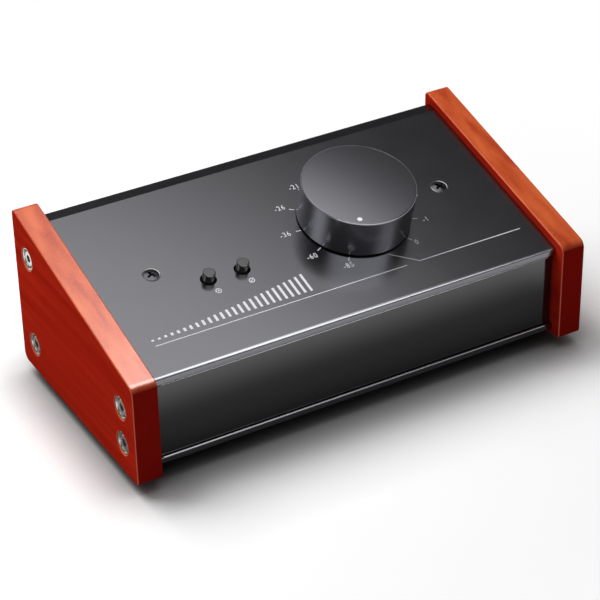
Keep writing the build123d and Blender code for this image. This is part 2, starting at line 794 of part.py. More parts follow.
with BuildPart() as volume_knob:
    with BuildSketch(on_panel(dial_x, dial_v, knob_lift)):
        Circle(knob_radius)
    extrude(amount=knob_height - knob_lift)
    top_edges = volume_knob.edges().filter_by(GeomType.CIRCLE).sort_by(panel_axis)[-1]
    fillet(top_edges, knob_top_ease)
    with BuildSketch(on_panel(dial_x, dial_v, knob_lift)):
        Circle(knob_radius - knob_skirt_wall)
    extrude(amount=knob_hollow_height, mode=Mode.SUBTRACT)
    with BuildSketch(on_panel(dial_x, dial_v, knob_height - knob_roof)):
        Circle(knob_boss_radius)
    extrude(amount=-(knob_height - knob_roof - insert_low))
    with BuildSketch(on_panel(dial_x, dial_v, insert_low)):
        Circle(insert_radius + insert_clearance)
    extrude(amount=insert_top - insert_low, mode=Mode.SUBTRACT)
    with BuildSketch(set_screw_plane):
        Circle(set_screw_access_radius)
    extrude(amount=knob_radius, mode=Mode.SUBTRACT)
    with BuildSketch(pointer_plane):
        Circle(pointer_radius + pointer_clearance)
    extrude(amount=-pointer_depth, mode=Mode.SUBTRACT)
write(volume_knob, "volume_knob")

with BuildPart() as knob_insert:
    with BuildSketch(on_panel(dial_x, dial_v, insert_low)):
        Circle(insert_radius)
        Circle(shaft_radius + insert_clearance, mode=Mode.SUBTRACT)
    extrude(amount=insert_top - insert_low)
    with BuildSketch(set_screw_plane):
        Circle(screw_radius + insert_clearance)
    extrude(amount=insert_radius + knob_lift, mode=Mode.SUBTRACT)
write(knob_insert, "knob_insert")

with BuildPart() as knob_set_screw:
    with BuildSketch(set_screw_plane.offset(shaft_radius - shaft_flat + insert_clearance)):
        Circle(screw_radius)
    extrude(amount=set_screw_length)
    with BuildSketch(set_screw_plane.offset(shaft_radius - shaft_flat + insert_clearance + set_screw_length)):
        RegularPolygon(set_screw_key_radius, 6)
    extrude(amount=-hex_key_depth, mode=Mode.SUBTRACT)
write(knob_set_screw, "knob_set_screw")

with BuildPart() as knob_pointer:
    with BuildSketch(pointer_plane):
        Circle(pointer_radius)
    extrude(amount=-pointer_depth)
write(knob_pointer, "knob_pointer")

# ---------------------------------------------------------------- push buttons
switch_top = board_top + switch_height
spring_height = -button_skirt - switch_top - 2 * (spring_wire_radius + spring_seat_gap)

for name, x in button_xs.items():
    with BuildPart() as button_cap:
        with BuildSketch(on_panel(x, button_v, -button_skirt)):
            Circle(button_radius)
        extrude(amount=button_skirt + button_height, taper=button_taper_angle)
        fillet(button_cap.edges().filter_by(GeomType.CIRCLE).sort_by(panel_axis)[-1], button_top_ease)
        with BuildSketch(on_panel(x, button_v, -button_skirt)):
            Circle(stem_radius + stem_clearance)
        extrude(amount=button_skirt + stem_top, mode=Mode.SUBTRACT)
    write(button_cap, f"{name}_button")

    with BuildPart() as plunger:
        with BuildSketch(on_panel(x, button_v, stem_top)):
            Circle(stem_radius)
        extrude(amount=-stem_length)
    write(plunger, f"{name}_plunger")

    with BuildPart() as switch_body:
        with BuildSketch(on_panel(x, button_v, board_top)):
            RectangleRounded(switch_side, switch_side, board_corner_radius / 4)
        extrude(amount=switch_height)
        with BuildSketch(on_panel(x, button_v, switch_top)):
            Circle(stem_radius + stem_clearance)
        extrude(amount=-(switch_height - switch_floor), mode=Mode.SUBTRACT)
    write(switch_body, f"{name}_switch")

    with BuildPart() as spring:
        spring_seat = on_panel(x, button_v, switch_top + spring_wire_radius + spring_seat_gap)
        with BuildLine() as coil:
            Helix(
                pitch=spring_height / spring_turns,
                height=spring_height,
                radius=spring_mean_radius,
                center=spring_seat.origin,
                direction=spring_seat.z_dir,
            )
        with BuildSketch(Plane(origin=coil.line @ 0, z_dir=coil.line % 0)):
            Circle(spring_wire_radius)
        sweep(path=coil.line, is_frenet=True)
    write(spring, f"{name}_spring")

with BuildPart() as switch_pins:
    for button_x in button_xs.values():
        with BuildSketch(on_panel(button_x, button_v, board_top)):
            with Locations(*switch_pin_offsets):
                Rectangle(2 * switch_pin_half, 2 * switch_pin_half)
        extrude(amount=-(board_thickness + pin_below_board))
write(switch_pins, "switch_pins")

# ---------------------------------------------------------------- sockets
contact_offsets = [
    (contact_ring_radius * cos(radians(angle)), contact_ring_radius * sin(radians(angle)))
    for angle in contact_angles
]


def socket_blank(x):
    """The flange and the barrel that every large socket shares."""
    with BuildPart() as blank:
        with BuildSketch(facing_back(x, rear_face_y, socket_z)):
            RectangleRounded(flange_width, flange_height, flange_corner_radius)
        extrude(amount=flange_thickness)
        fillet(blank.faces().sort_by(Axis.Y)[-1].edges(), flange_ease)
        with BuildSketch(facing_back(x, rear_face_y, socket_z)):
            Circle(barrel_radius)
        extrude(amount=-(panel_thickness + barrel_depth))
        with BuildSketch(facing_back(x, flange_face_y, socket_z)):
            with Locations(*flange_screw_offsets):
                Circle(screw_hole_radius)
        extrude(amount=-flange_thickness, mode=Mode.SUBTRACT)
    return blank.part


contact_face_y = flange_face_y - jack_bore_depth - contact_setback

for name, x in zip(("left_input", "right_input"), input_xs):
    blank = socket_blank(x)
    with BuildPart() as input_socket:
        add(blank)
        with BuildSketch(facing_back(x, flange_face_y, socket_z)):
            Circle(plug_groove_outer_radius)
            Circle(plug_groove_inner_radius, mode=Mode.SUBTRACT)
        extrude(amount=-plug_groove_depth, mode=Mode.SUBTRACT)
        with BuildSketch(facing_back(x, flange_face_y, socket_z)):
            Circle(jack_bore_radius)
        extrude(amount=-jack_bore_depth, mode=Mode.SUBTRACT)
        with BuildSketch(facing_back(x, flange_face_y, socket_z)):
            with Locations(*contact_offsets):
                Circle(contact_radius + contact_hole_clearance)
        extrude(amount=-(flange_face_y - barrel_end_y), mode=Mode.SUBTRACT)
    write(input_socket, f"{name}_socket")

    with BuildPart() as input_contacts:
        with BuildSketch(facing_back(x, contact_face_y, socket_z)):
            with Locations(*contact_offsets):
                Circle(contact_radius)
        extrude(amount=-(contact_face_y - barrel_end_y))
        with BuildSketch(facing_back(x, io_board_back_y, socket_z)):
            with Locations(*contact_offsets):
                Rectangle(2 * solder_pin_half, 2 * solder_pin_half)
        extrude(amount=-(board_thickness + solder_pin_length))
    write(input_contacts, f"{name}_contacts")

cavity_floor_y = flange_face_y - male_cavity_depth

for name, x in zip(("left_output", "right_output"), output_xs):
    blank = socket_blank(x)
    with BuildPart() as output_socket:
        add(blank)
        with BuildSketch(facing_back(x, flange_face_y, socket_z)):
            Circle(male_cavity_radius)
        extrude(amount=-male_cavity_depth, mode=Mode.SUBTRACT)
        with BuildSketch(facing_back(x, cavity_floor_y, socket_z)):
            with Locations((0, male_cavity_radius - key_depth / 2)):
                Rectangle(key_width, key_depth + key_root)
        extrude(amount=male_cavity_depth - male_pin_setback)
        with BuildSketch(facing_back(x, cavity_floor_y, socket_z)):
            with Locations(*contact_offsets):
                Circle(contact_radius + contact_hole_clearance)
        extrude(amount=-(cavity_floor_y - barrel_end_y), mode=Mode.SUBTRACT)
    write(output_socket, f"{name}_socket")

    with BuildPart() as output_pins:
        with BuildSketch(facing_back(x, flange_face_y - male_pin_setback, socket_z)):
            with Locations(*contact_offsets):
                Circle(contact_radius)
        extrude(amount=-(flange_face_y - male_pin_setback - barrel_end_y))
        fillet(output_pins.edges().filter_by(GeomType.CIRCLE).group_by(Axis.Y)[-1], pin_tip_ease)
        with BuildSketch(facing_back(x, io_board_back_y, socket_z)):
            with Locations(*contact_offsets):
                Rectangle(2 * solder_pin_half, 2 * solder_pin_half)
        extrude(amount=-(board_thickness + solder_pin_length))
    write(output_pins, f"{name}_pins")

socket_screw_seats = [
    facing_back(x - dx, flange_face_y, socket_z + dz) for x in socket_xs for dx, dz in flange_screw_offsets
]

with BuildPart() as socket_screws:
    add([pan_head_screw(seat, flange_screw_length) for seat in socket_screw_seats])
write(socket_screws, "socket_screws")

with BuildPart() as aux_socket:
    with BuildSketch(facing_back(aux_x, rear_inner_y, socket_z)):
        Rectangle(aux_body_width, aux_body_height)
    extrude(amount=-barrel_depth)
    with BuildSketch(facing_back(aux_x, rear_inner_y, socket_z)):
        Circle(aux_nose_radius)
    extrude(amount=panel_thickness + aux_nose_length)
    with BuildSketch(facing_back(aux_x, rear_face_y + aux_nose_length, socket_z)):
        Circle(aux_bore_radius)
    extrude(amount=-aux_bore_depth, mode=Mode.SUBTRACT)
write(aux_socket, "aux_socket")

with BuildPart() as aux_nut:
    with BuildSketch(facing_back(aux_x, rear_face_y, socket_z)):
        Circle(aux_nut_radius)
        Circle(aux_nose_radius + shaft_clearance, mode=Mode.SUBTRACT)
    extrude(amount=aux_nut_thickness)
    with BuildSketch(facing_back(aux_x, rear_face_y + aux_nut_thickness, socket_z)):
        Rectangle(2 * aux_nut_radius, aux_nut_slot)
    extrude(amount=-aux_nut_thickness / 2, mode=Mode.SUBTRACT)
write(aux_nut, "aux_nut")

with BuildPart() as aux_pins:
    with BuildSketch(facing_back(aux_x, io_board_back_y, socket_z)):
        with Locations(*aux_pin_offsets):
            Rectangle(2 * solder_pin_half, 2 * solder_pin_half)
    extrude(amount=-(board_thickness + solder_pin_length))
write(aux_pins, "aux_pins")

io_board_low = case_floor_z + io_board_floor_gap
io_board_high = ceiling(io_board_front_y) - io_board_roof_gap
io_board_width = 2 * (cheek_inner_x - io_board_end_gap)

with BuildPart() as io_board:
    with BuildSketch(facing_back(0, io_board_back_y, (io_board_low + io_board_high) / 2)):
        RectangleRounded(io_board_width, io_board_high - io_board_low, board_corner_radius)
    extrude(amount=-board_thickness)
    for x in socket_xs:
        with BuildSketch(facing_back(x, io_board_back_y, socket_z)):
            with Locations(*contact_offsets):
                Circle(solder_pin_half + board_hole_radius / 2)
        extrude(amount=-board_thickness, mode=Mode.SUBTRACT)
    with BuildSketch(facing_back(aux_x, io_board_back_y, socket_z)):
        with Locations(*aux_pin_offsets):
            Circle(solder_pin_half + board_hole_radius / 2)
    extrude(amount=-board_thickness, mode=Mode.SUBTRACT)
write(io_board, "io_board")

# ---------------------------------------------------------------- ribbon cable and its headers
control_header_plane = on_panel(
    ribbon_x, dial_v - control_header_before_dial, board_under - header_height
)
io_header_plane = facing_back(ribbon_x, io_board_front_y - header_height, cheek_bottom_z + io_header_height)

for name, mouth in (("control_header", control_header_plane), ("io_header", io_header_plane)):
    with BuildPart() as header:
        with BuildSketch(mouth):
            Rectangle(header_width, header_depth)
        extrude(amount=header_height)
        with BuildSketch(mouth):
            Rectangle(ribbon_width + 2 * header_wall_gap, ribbon_thickness + 2 * header_wall_gap)
        extrude(amount=header_mouth, mode=Mode.SUBTRACT)
    write(header, name)

with BuildPart() as ribbon_cable:
    first_mouth = control_header_plane.offset(header_mouth).origin
    first_run = control_header_plane.offset(-ribbon_lead).origin
    last_run = io_header_plane.offset(-ribbon_lead).origin
    last_mouth = io_header_plane.offset(header_mouth).origin
    with BuildSketch(Plane.YZ.offset(ribbon_x - ribbon_width / 2)):
        with BuildLine():
            FilletPolyline(
                (first_mouth.Y, first_mouth.Z),
                (first_run.Y, first_run.Z),
                (last_run.Y, last_run.Z),
                (last_mouth.Y, last_mouth.Z),
                radius=ribbon_bend_radius,
            )
        trace(line_width=ribbon_thickness)
    extrude(amount=ribbon_width)
write(ribbon_cable, "ribbon_cable")
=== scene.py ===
"""Looks of a studio monitor controller: an aluminium wedge between two red wooden cheeks.

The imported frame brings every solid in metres. This script dresses those solids, prints the sloping
panel and lights the table. Lengths whose names end in _mm are millimetres.
"""

import json
import logging
import math
from collections.abc import Iterable
from dataclasses import dataclass
from enum import Enum
from typing import ClassVar

import bmesh
import bpy
from mathutils import Matrix, Vector


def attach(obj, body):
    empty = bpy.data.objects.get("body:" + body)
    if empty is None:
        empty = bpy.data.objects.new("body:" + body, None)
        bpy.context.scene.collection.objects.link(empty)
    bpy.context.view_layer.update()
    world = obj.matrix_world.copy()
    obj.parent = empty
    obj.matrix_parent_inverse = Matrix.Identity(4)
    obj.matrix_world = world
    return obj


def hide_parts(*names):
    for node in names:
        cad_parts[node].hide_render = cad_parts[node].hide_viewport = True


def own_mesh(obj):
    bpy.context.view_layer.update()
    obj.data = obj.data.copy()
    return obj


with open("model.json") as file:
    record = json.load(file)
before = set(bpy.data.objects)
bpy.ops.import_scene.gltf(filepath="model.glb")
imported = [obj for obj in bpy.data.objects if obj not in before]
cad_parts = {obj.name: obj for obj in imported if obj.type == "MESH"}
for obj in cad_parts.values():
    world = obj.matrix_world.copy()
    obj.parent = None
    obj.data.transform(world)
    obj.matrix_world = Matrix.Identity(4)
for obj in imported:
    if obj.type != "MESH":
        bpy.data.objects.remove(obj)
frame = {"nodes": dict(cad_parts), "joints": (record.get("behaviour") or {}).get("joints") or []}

LOG = logging.getLogger("monitor_controller")
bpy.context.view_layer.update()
MM = 0.001
ROOT = "root"

Pair = tuple[float, float]
Outline = list[Pair]
Triple = tuple[float, float, float]
Colour = tuple[float, float, float, float]
Tree = bpy.types.NodeTree
Socket = bpy.types.NodeSocket
Shape = bmesh.types.BMesh


# ---- colour and node helpers
def linear(hex_colour: str) -> Colour:
    """Turns an sRGB colour into linear light.

    Args:
        hex_colour: Six hex digits with a leading hash.

    Returns:
        Linear RGBA with an alpha of one.
    """
    channels = [int(hex_colour[start : start + 2], 16) / 255 for start in (1, 3, 5)]
    red, green, blue = (c / 12.92 if c <= 0.04045 else ((c + 0.055) / 1.055) ** 2.4 for c in channels)
    return red, green, blue, 1.0


def grey(level: float) -> Colour:
    """A linear grey of that level."""
    return level, level, level, 1.0


def add_node(tree: Tree, kind: str, inputs: dict | None = None, **settings) -> bpy.types.Node:
    """Adds one node with its settings and links.

    Args:
        tree: The node tree that gets the node.
        kind: The node's type, as Blender names it.
        inputs: A value or an output socket for each input, by name or number.
        settings: Properties of the node itself.

    Returns:
        The new node.
    """
    node = tree.nodes.new(kind)
    for key, value in settings.items():
        setattr(node, key, value)
    for key, value in (inputs or {}).items():
        if isinstance(value, Socket):
            tree.links.new(value, node.inputs[key])
        else:
            node.inputs[key].default_value = value
    return node


class Mix(Enum):
    """What a mix node blends: its data type, its two inputs and its output."""

    VALUE = ("FLOAT", 2, 3, 0)
    COLOUR = ("RGBA", 6, 7, 2)


def mix(tree: Tree, share: float | Socket, first: object, second: object, kind: Mix = Mix.COLOUR,
        **settings) -> Socket:
    """Two colours or values blended, with that share of the second."""
    data_type, low, high, result = kind.value
    return add_node(tree, "ShaderNodeMix", {0: share, low: first, high: second}, data_type=data_type,
                    **settings).outputs[result]


def remap(tree: Tree, value: Socket, start: Pair = (0.0, 1.0), end: Pair = (0.0, 1.0),
          slope: str = "LINEAR") -> Socket:
    """A value carried from the range in which it starts to the one in which it ends, and clamped."""
    inputs = {"Value": value, "From Min": start[0], "From Max": start[1], "To Min": end[0], "To Max": end[1]}
    return add_node(tree, "ShaderNodeMapRange", inputs, interpolation_type=slope).outputs["Result"]


def noise(tree: Tree, point: Socket, size_mm: float, detail: float = 2.0) -> Socket:
    """A noise pattern with spots of that size."""
    inputs = {"Vector": point, "Scale": 1 / (size_mm * MM), "Detail": detail}
    return add_node(tree, "ShaderNodeTexNoise", inputs).outputs["Fac"]


def relief(tree: Tree, height: Socket, depth_mm: float, strength: float) -> Socket:
    """The normal of a bumpy surface whose bumps have that depth."""
    inputs = {"Height": height, "Distance": depth_mm * MM, "Strength": strength}
    return add_node(tree, "ShaderNodeBump", inputs).outputs["Normal"]


def calculate(tree: Tree, operation: str, *values: float | Socket) -> Socket:
    """The result of a math node on up to three values."""
    return add_node(tree, "ShaderNodeMath", dict(enumerate(values)), operation=operation).outputs["Value"]


def vector_math(tree: Tree, operation: str, *values: Triple | Socket) -> Socket:
    """The result of a vector math node; a length or a distance comes as a value."""
    made = add_node(tree, "ShaderNodeVectorMath", dict(enumerate(values)), operation=operation)
    return made.outputs["Value" if operation in ("LENGTH", "DISTANCE") else "Vector"]


def coordinate(tree: Tree, kind: str = "Object") -> Socket:
    """The point on the piece in metres in its own frame, or another kind of coordinate."""
    return add_node(tree, "ShaderNodeTexCoord").outputs[kind]


def axes(tree: Tree, vector: Socket) -> dict[str, Socket]:
    """The X, Y and Z of a vector."""
    made = add_node(tree, "ShaderNodeSeparateXYZ", {"Vector": vector})
    return {axis: made.outputs[axis] for axis in "XYZ"}


def shader(tree: Tree, colour: Colour | Socket, roughness: float | Socket, **inputs) -> Socket:
    """A surface with further inputs, in whose names an underscore stands for a space."""
    named = {key.replace("_", " "): value for key, value in inputs.items()}
    return add_node(tree, "ShaderNodeBsdfPrincipled",
                    {"Base Color": colour, "Roughness": roughness, **named}).outputs["BSDF"]


def set_stops(ramp: bpy.types.Node, stops: Iterable[tuple[float, Colour]]) -> None:
    """Gives a colour ramp its stops.

    Args:
        ramp: A colour ramp node with its two first stops.
        stops: Place and colour of each stop, in rising order, two or more.
    """
    elements = ramp.color_ramp.elements
    for index, (spot, colour) in enumerate(stops):
        element = elements[index] if index < 2 else elements.new(spot)
        element.position = spot
        element.color = colour


def empty_tree(owner: bpy.types.ID) -> Tree:
    """Switches on the nodes of a data block and clears them.

    Args:
        owner: A material, a world or a lamp.

    Returns:
        Its empty node tree.
    """
    owner.use_nodes = True
    owner.node_tree.nodes.clear()
    return owner.node_tree


# ---- finishes
@dataclass(frozen=True)
class Finish:
    """One real finish; however many pieces have it, its material is made once."""

    name: str

    def material(self) -> bpy.types.Material:
        """Makes the material, or returns it if it exists.

        Returns:
            The Blender material of this finish.
        """
        known = bpy.data.materials.get(self.name)
        if known is not None:
            return known
        made = bpy.data.materials.new(self.name)
        tree = empty_tree(made)
        add_node(tree, "ShaderNodeOutputMaterial", {"Surface": self.surface(tree)})
        return made

    def surface(self, tree: Tree) -> Socket:
        """Adds what the finish gives the eye.

        Args:
            tree: The material's node tree.

        Returns:
            The shader's output.
        """
        raise NotImplementedError


@dataclass(frozen=True)
class BlastedAluminium(Finish):
    """Bead-blasted, dyed anodised aluminium: a dark metal with a soft, wide, very even gloss."""

    colour: str = "#7c7c80"
    roughness: Pair = (0.19, 0.23)
    cloud_mm: float = 9.0
    grit_mm: float = 0.22
    grit_depth_mm: float = 0.0015

    def surface(self, tree: Tree) -> Socket:
        """The grit lifts and lowers the metal a little; wide clouds vary how much it scatters."""
        point = coordinate(tree)
        rough = remap(tree, noise(tree, point, self.cloud_mm, detail=3.0), end=self.roughness)
        grit = relief(tree, noise(tree, point, self.grit_mm), self.grit_depth_mm, strength=0.5)
        return shader(tree, linear(self.colour), rough, Metallic=1.0, Normal=grit)


@dataclass(frozen=True)
class TurnedAluminium(Finish):
    """Lathe-turned, dyed anodised aluminium: fine rings round the knob's axis in a dark metal."""

    centre: Triple = (0.0, 0.0, 0.0)
    tilt: float = 0.0
    colour: str = "#8f8f95"
    roughness: Pair = (0.244, 0.256)
    ring_mm: float = 0.28
    ring_depth_mm: float = 0.00003
    crown_mm: float = 430.0

    def surface(self, tree: Tree) -> Socket:
        """Rings count outwards on the face and downwards on the side; the face is a little crowned."""
        inputs = {"Vector": coordinate(tree), "Location": self.centre, "Rotation": (self.tilt, 0.0, 0.0)}
        local = add_node(tree, "ShaderNodeMapping", inputs, vector_type="TEXTURE")
        parts = axes(tree, local.outputs["Vector"])
        flat = add_node(tree, "ShaderNodeCombineXYZ", {"X": parts["X"], "Y": parts["Y"]})
        reach = vector_math(tree, "LENGTH", flat.outputs["Vector"])
        along = calculate(tree, "SUBTRACT", reach, parts["Z"])
        inputs = {"W": along, "Scale": 1 / (self.ring_mm * MM), "Detail": 3.0, "Roughness": 0.6}
        rings = add_node(tree, "ShaderNodeTexNoise", inputs, noise_dimensions="1D").outputs["Fac"]
        inputs = {"Height": calculate(tree, "MULTIPLY", reach, reach), "Distance": 0.5 / (self.crown_mm * MM)}
        crown = add_node(tree, "ShaderNodeBump", inputs, invert=True).outputs["Normal"]
        inputs = {"Height": rings, "Distance": self.ring_depth_mm * MM, "Strength": 0.6, "Normal": crown}
        marks = add_node(tree, "ShaderNodeBump", inputs).outputs["Normal"]
        rough = remap(tree, rings, end=self.roughness)
        return shader(tree, linear(self.colour), rough, Metallic=1.0, Normal=marks)


@dataclass(frozen=True)
class GlossEnamel(Finish):
    """Baked gloss enamel on the front plate: near black, with a clear, faintly wavy reflection."""

    colour: str = "#0c0c0e"
    roughness: Pair = (0.07, 0.13)
    ior: float = 1.9
    wave_mm: float = 1.6
    wave_depth_mm: float = 0.001

    def surface(self, tree: Tree) -> Socket:
        """The enamel's slight waviness blurs what it mirrors."""
        wave = noise(tree, coordinate(tree), self.wave_mm)
        return shader(tree, linear(self.colour), remap(tree, wave, end=self.roughness), IOR=self.ior,
                      Normal=relief(tree, wave, self.wave_depth_mm, strength=0.4))


@dataclass(frozen=True)
class StainedBeech(Finish):
    """Beech, stained red, coloured by which way each face looks, which paints light and shade.

    The upper faces take lighter orange-red tones under a broad soft gloss, as painted light; the sides take a
    deep, matt red as painted shade, and the front and back, which are end grain, a darker red as end grain
    and painted shade. Facing pairs give the part of a face's direction over which a look sets in.
    """

    # The top tones are lighter than the side tones below: painted light on the upper faces.
    light: str = "#c65c2b"
    middle: str = "#b94c21"
    dark: str = "#a23812"
    # The side tones are darker: painted shade on faces that look sideways.
    shaded_side_pale: str = "#a32414"
    shaded_side_deep: str = "#8e180b"
    # Front and back faces: end grain, darkened further as painted shade.
    end_grain_and_shade: str = "#74100a"
    # A pale pink for rounded edges: a painted highlight.
    painted_arris_highlight: str = "#c4604e"
    fibre_mm: float = 0.3
    fibre_length_mm: float = 11.0
    fibre_share: float = 0.45
    fibre_depth_mm: float = 0.004
    ring_mm: float = 4.5
    ring_length_mm: float = 90.0
    figure_range: Pair = (0.5, 0.95)
    roughness: float = 0.5
    coat_roughness: float = 0.3
    coat_ior: float = 1.5
    up_facing: Pair = (0.3, 0.75)
    highlight_fade_facing: Pair = (0.5, 0.95)
    arris_highlight_facing: Pair = (-0.15, -0.4)

    def stretched(self, tree: Tree, across_mm: float, along_mm: float, detail: float) -> Socket:
        """Noise drawn out along the cheek.

        Args:
            tree: The node tree.
            across_mm: Size of the pattern across the grain.
            along_mm: Size of the pattern along the grain.
            detail: Detail of the noise.

        Returns:
            The noise's value.
        """
        across, along = 1 / (across_mm * MM), 1 / (along_mm * MM)
        inputs = {"Vector": coordinate(tree), "Scale": (across, along, across)}
        grain = add_node(tree, "ShaderNodeMapping", inputs).outputs["Vector"]
        inputs = {"Vector": grain, "Scale": 1.0, "Detail": detail, "Roughness": 0.55, "Distortion": 0.2}
        return add_node(tree, "ShaderNodeTexNoise", inputs).outputs["Fac"]

    def surface(self, tree: Tree) -> Socket:
        """Fibres and growth rings colour the wood; a face that looks up is coated and painted lighter as lit,
        a face that looks sideways is painted darker as shade.
        """
        fibre = self.stretched(tree, self.fibre_mm, self.fibre_length_mm, detail=3.0)
        ring = self.stretched(tree, self.ring_mm, self.ring_length_mm, detail=1.0)
        blend = calculate(tree, "MULTIPLY_ADD", fibre, self.fibre_share, ring)
        figure = remap(tree, blend, self.figure_range)
        tone = add_node(tree, "ShaderNodeValToRGB", {"Fac": figure})
        set_stops(tone, [(0.0, linear(self.dark)), (0.5, linear(self.middle)), (1.0, linear(self.light))])
        # Sideways faces take the darker side tones: painted shade.
        deep = mix(tree, figure, linear(self.shaded_side_deep), linear(self.shaded_side_pale))
        facing = axes(tree, coordinate(tree, "Normal"))
        upward = remap(tree, facing["Z"], self.up_facing)
        # Front and back faces take the end-grain colour: end grain and painted shade.
        ends = mix(tree, calculate(tree, "ABSOLUTE", facing["Y"]), deep, linear(self.end_grain_and_shade))
        # Rounded edges of faces that look left take the pale pink, fading out on the flat sides: a painted
        # highlight.
        squared = calculate(tree, "MULTIPLY", facing["X"], facing["X"])
        highlight_away_from_sides = remap(tree, squared, self.highlight_fade_facing, (1.0, 0.0))
        highlight_towards_left = remap(tree, facing["X"], self.arris_highlight_facing)
        sides = mix(tree, calculate(tree, "MULTIPLY", highlight_away_from_sides, highlight_towards_left), ends, linear(self.painted_arris_highlight))
        # Faces that look up take the lighter top tones: painted light.
        colour = mix(tree, upward, sides, tone.outputs["Color"])
        return shader(tree, colour, self.roughness, Specular_IOR_Level=0.0, Coat_Weight=upward,
                      Coat_Roughness=self.coat_roughness, Coat_IOR=self.coat_ior,
                      Normal=relief(tree, fibre, self.fibre_depth_mm, strength=0.3))


@dataclass(frozen=True)
class PlatedMetal(Finish):
    """Turned and plated metal: bright or dark, with fine tool marks."""

    colour: str = "#cfcdc8"
    roughness: float = 0.24
    smoother: float = 0.05
    rougher: float = 0.08
    mark_mm: float = 0.18
    mark_depth_mm: float = 0.004

    def surface(self, tree: Tree) -> Socket:
        """The tool marks break up the plating's highlight."""
        marks = noise(tree, coordinate(tree), self.mark_mm, detail=3.0)
        rough = remap(tree, marks, end=(self.roughness - self.smoother, self.roughness + self.rougher))
        return shader(tree, linear(self.colour), rough, Metallic=1.0,
                      Normal=relief(tree, marks, self.mark_depth_mm, strength=0.4))


@dataclass(frozen=True)
class Moulded(Finish):
    """Injection-moulded plastic or rubber: an even colour with a spark-eroded grain."""

    colour: str = "#17171a"
    roughness: float = 0.42
    grain_mm: float = 0.25
    grain_depth_mm: float = 0.006
    grain_light: float = 0.03
    ior: float = 1.5

    def surface(self, tree: Tree) -> Socket:
        """The mould's grain scatters the gloss and mottles the colour slightly."""
        grain = noise(tree, coordinate(tree), self.grain_mm)
        shade = mix(tree, grain, linear(self.colour), grey(self.grain_light), blend_type="ADD")
        return shader(tree, shade, self.roughness, IOR=self.ior,
                      Normal=relief(tree, grain, self.grain_depth_mm, strength=0.5))


@dataclass(frozen=True)
class CircuitBoard(Finish):
    """Glass-fibre board under green solder mask: darker where bare fibre lies beneath it."""

    mask: str = "#0d4a26"
    copper: str = "#1c6b38"
    track_mm: float = 2.4
    track_edge: Pair = (0.32, 0.36)
    track_depth_mm: float = 0.03
    roughness: float = 0.28
    ior: float = 1.5

    def surface(self, tree: Tree) -> Socket:
        """Tracks show as lighter, slightly raised lines under the glossy mask."""
        inputs = {"Vector": coordinate(tree), "Scale": 1 / (self.track_mm * MM)}
        cells = add_node(tree, "ShaderNodeTexVoronoi", inputs, distance="CHEBYCHEV", feature="F1")
        track = remap(tree, cells.outputs["Distance"], self.track_edge)
        shade = mix(tree, track, linear(self.mask), linear(self.copper))
        return shader(tree, shade, self.roughness, IOR=self.ior,
                      Normal=relief(tree, track, self.track_depth_mm, strength=0.5))


@dataclass(frozen=True)
class ResistorLacquer(Finish):
    """Metal-film resistor lacquer: pale blue, with colour bands round the body."""

    body: str = "#7fa7c4"
    bands: tuple[str, ...] = ("#6b3a1e", "#111111", "#111111", "#b3282d")
    first_band: float = -0.0128
    band_step: float = 0.0011
    band_start: float = 0.3
    band_share: float = 0.5
    roughness: float = 0.3
    ior: float = 1.5

    def surface(self, tree: Tree) -> Socket:
        """Each band is a ring of its own colour across the body's length."""
        count = len(self.bands)
        reach = (self.first_band, self.first_band + self.band_step * count)
        share = remap(tree, axes(tree, coordinate(tree))["X"], reach)
        ramp = add_node(tree, "ShaderNodeValToRGB", {"Fac": share})
        ramp.color_ramp.interpolation = "CONSTANT"
        stops = [(0.0, linear(self.body))]
        for index, band in enumerate(self.bands):
            start = (index + self.band_start) / count
            stops += [(start, linear(band)), (start + self.band_share / count, linear(self.body))]
        set_stops(ramp, stops)
        return shader(tree, ramp.outputs["Color"], self.roughness, IOR=self.ior)


@dataclass(frozen=True)
class RibbonVinyl(Finish):
    """Flat ribbon cable in grey vinyl: ten ridges, one for each wire, the first one marked red."""

    colour: str = "#8d8f92"
    mark: str = "#b3282d"
    first_wire: float = -0.0122
    pitch_mm: float = 1.27
    ridge_mm: float = 0.2
    roughness: float = 0.5
    ior: float = 1.53

    def surface(self, tree: Tree) -> Socket:
        """A sine across the width gives the ridges."""
        across = axes(tree, coordinate(tree))["X"]
        phase = calculate(tree, "MULTIPLY", across, math.tau / (self.pitch_mm * MM))
        marked = calculate(tree, "LESS_THAN", across, self.first_wire + self.pitch_mm * MM)
        shade = mix(tree, marked, linear(self.colour), linear(self.mark))
        return shader(tree, shade, self.roughness, IOR=self.ior,
                      Normal=relief(tree, calculate(tree, "SINE", phase), self.ridge_mm, strength=0.6))


@dataclass(frozen=True)
class PrintedInk(Finish):
    """Screen-printed epoxy ink: off-white, matt, with the mesh's faint unevenness."""

    colour: str = "#dedee2"
    thin: str = "#c9c9cd"
    mesh_mm: float = 0.3
    roughness: float = 0.6
    ior: float = 1.5

    def surface(self, tree: Tree) -> Socket:
        """The ink lies a little thinner in places."""
        weave = noise(tree, coordinate(tree), self.mesh_mm)
        shade = mix(tree, weave, linear(self.colour), linear(self.thin))
        return shader(tree, shade, self.roughness, IOR=self.ior)


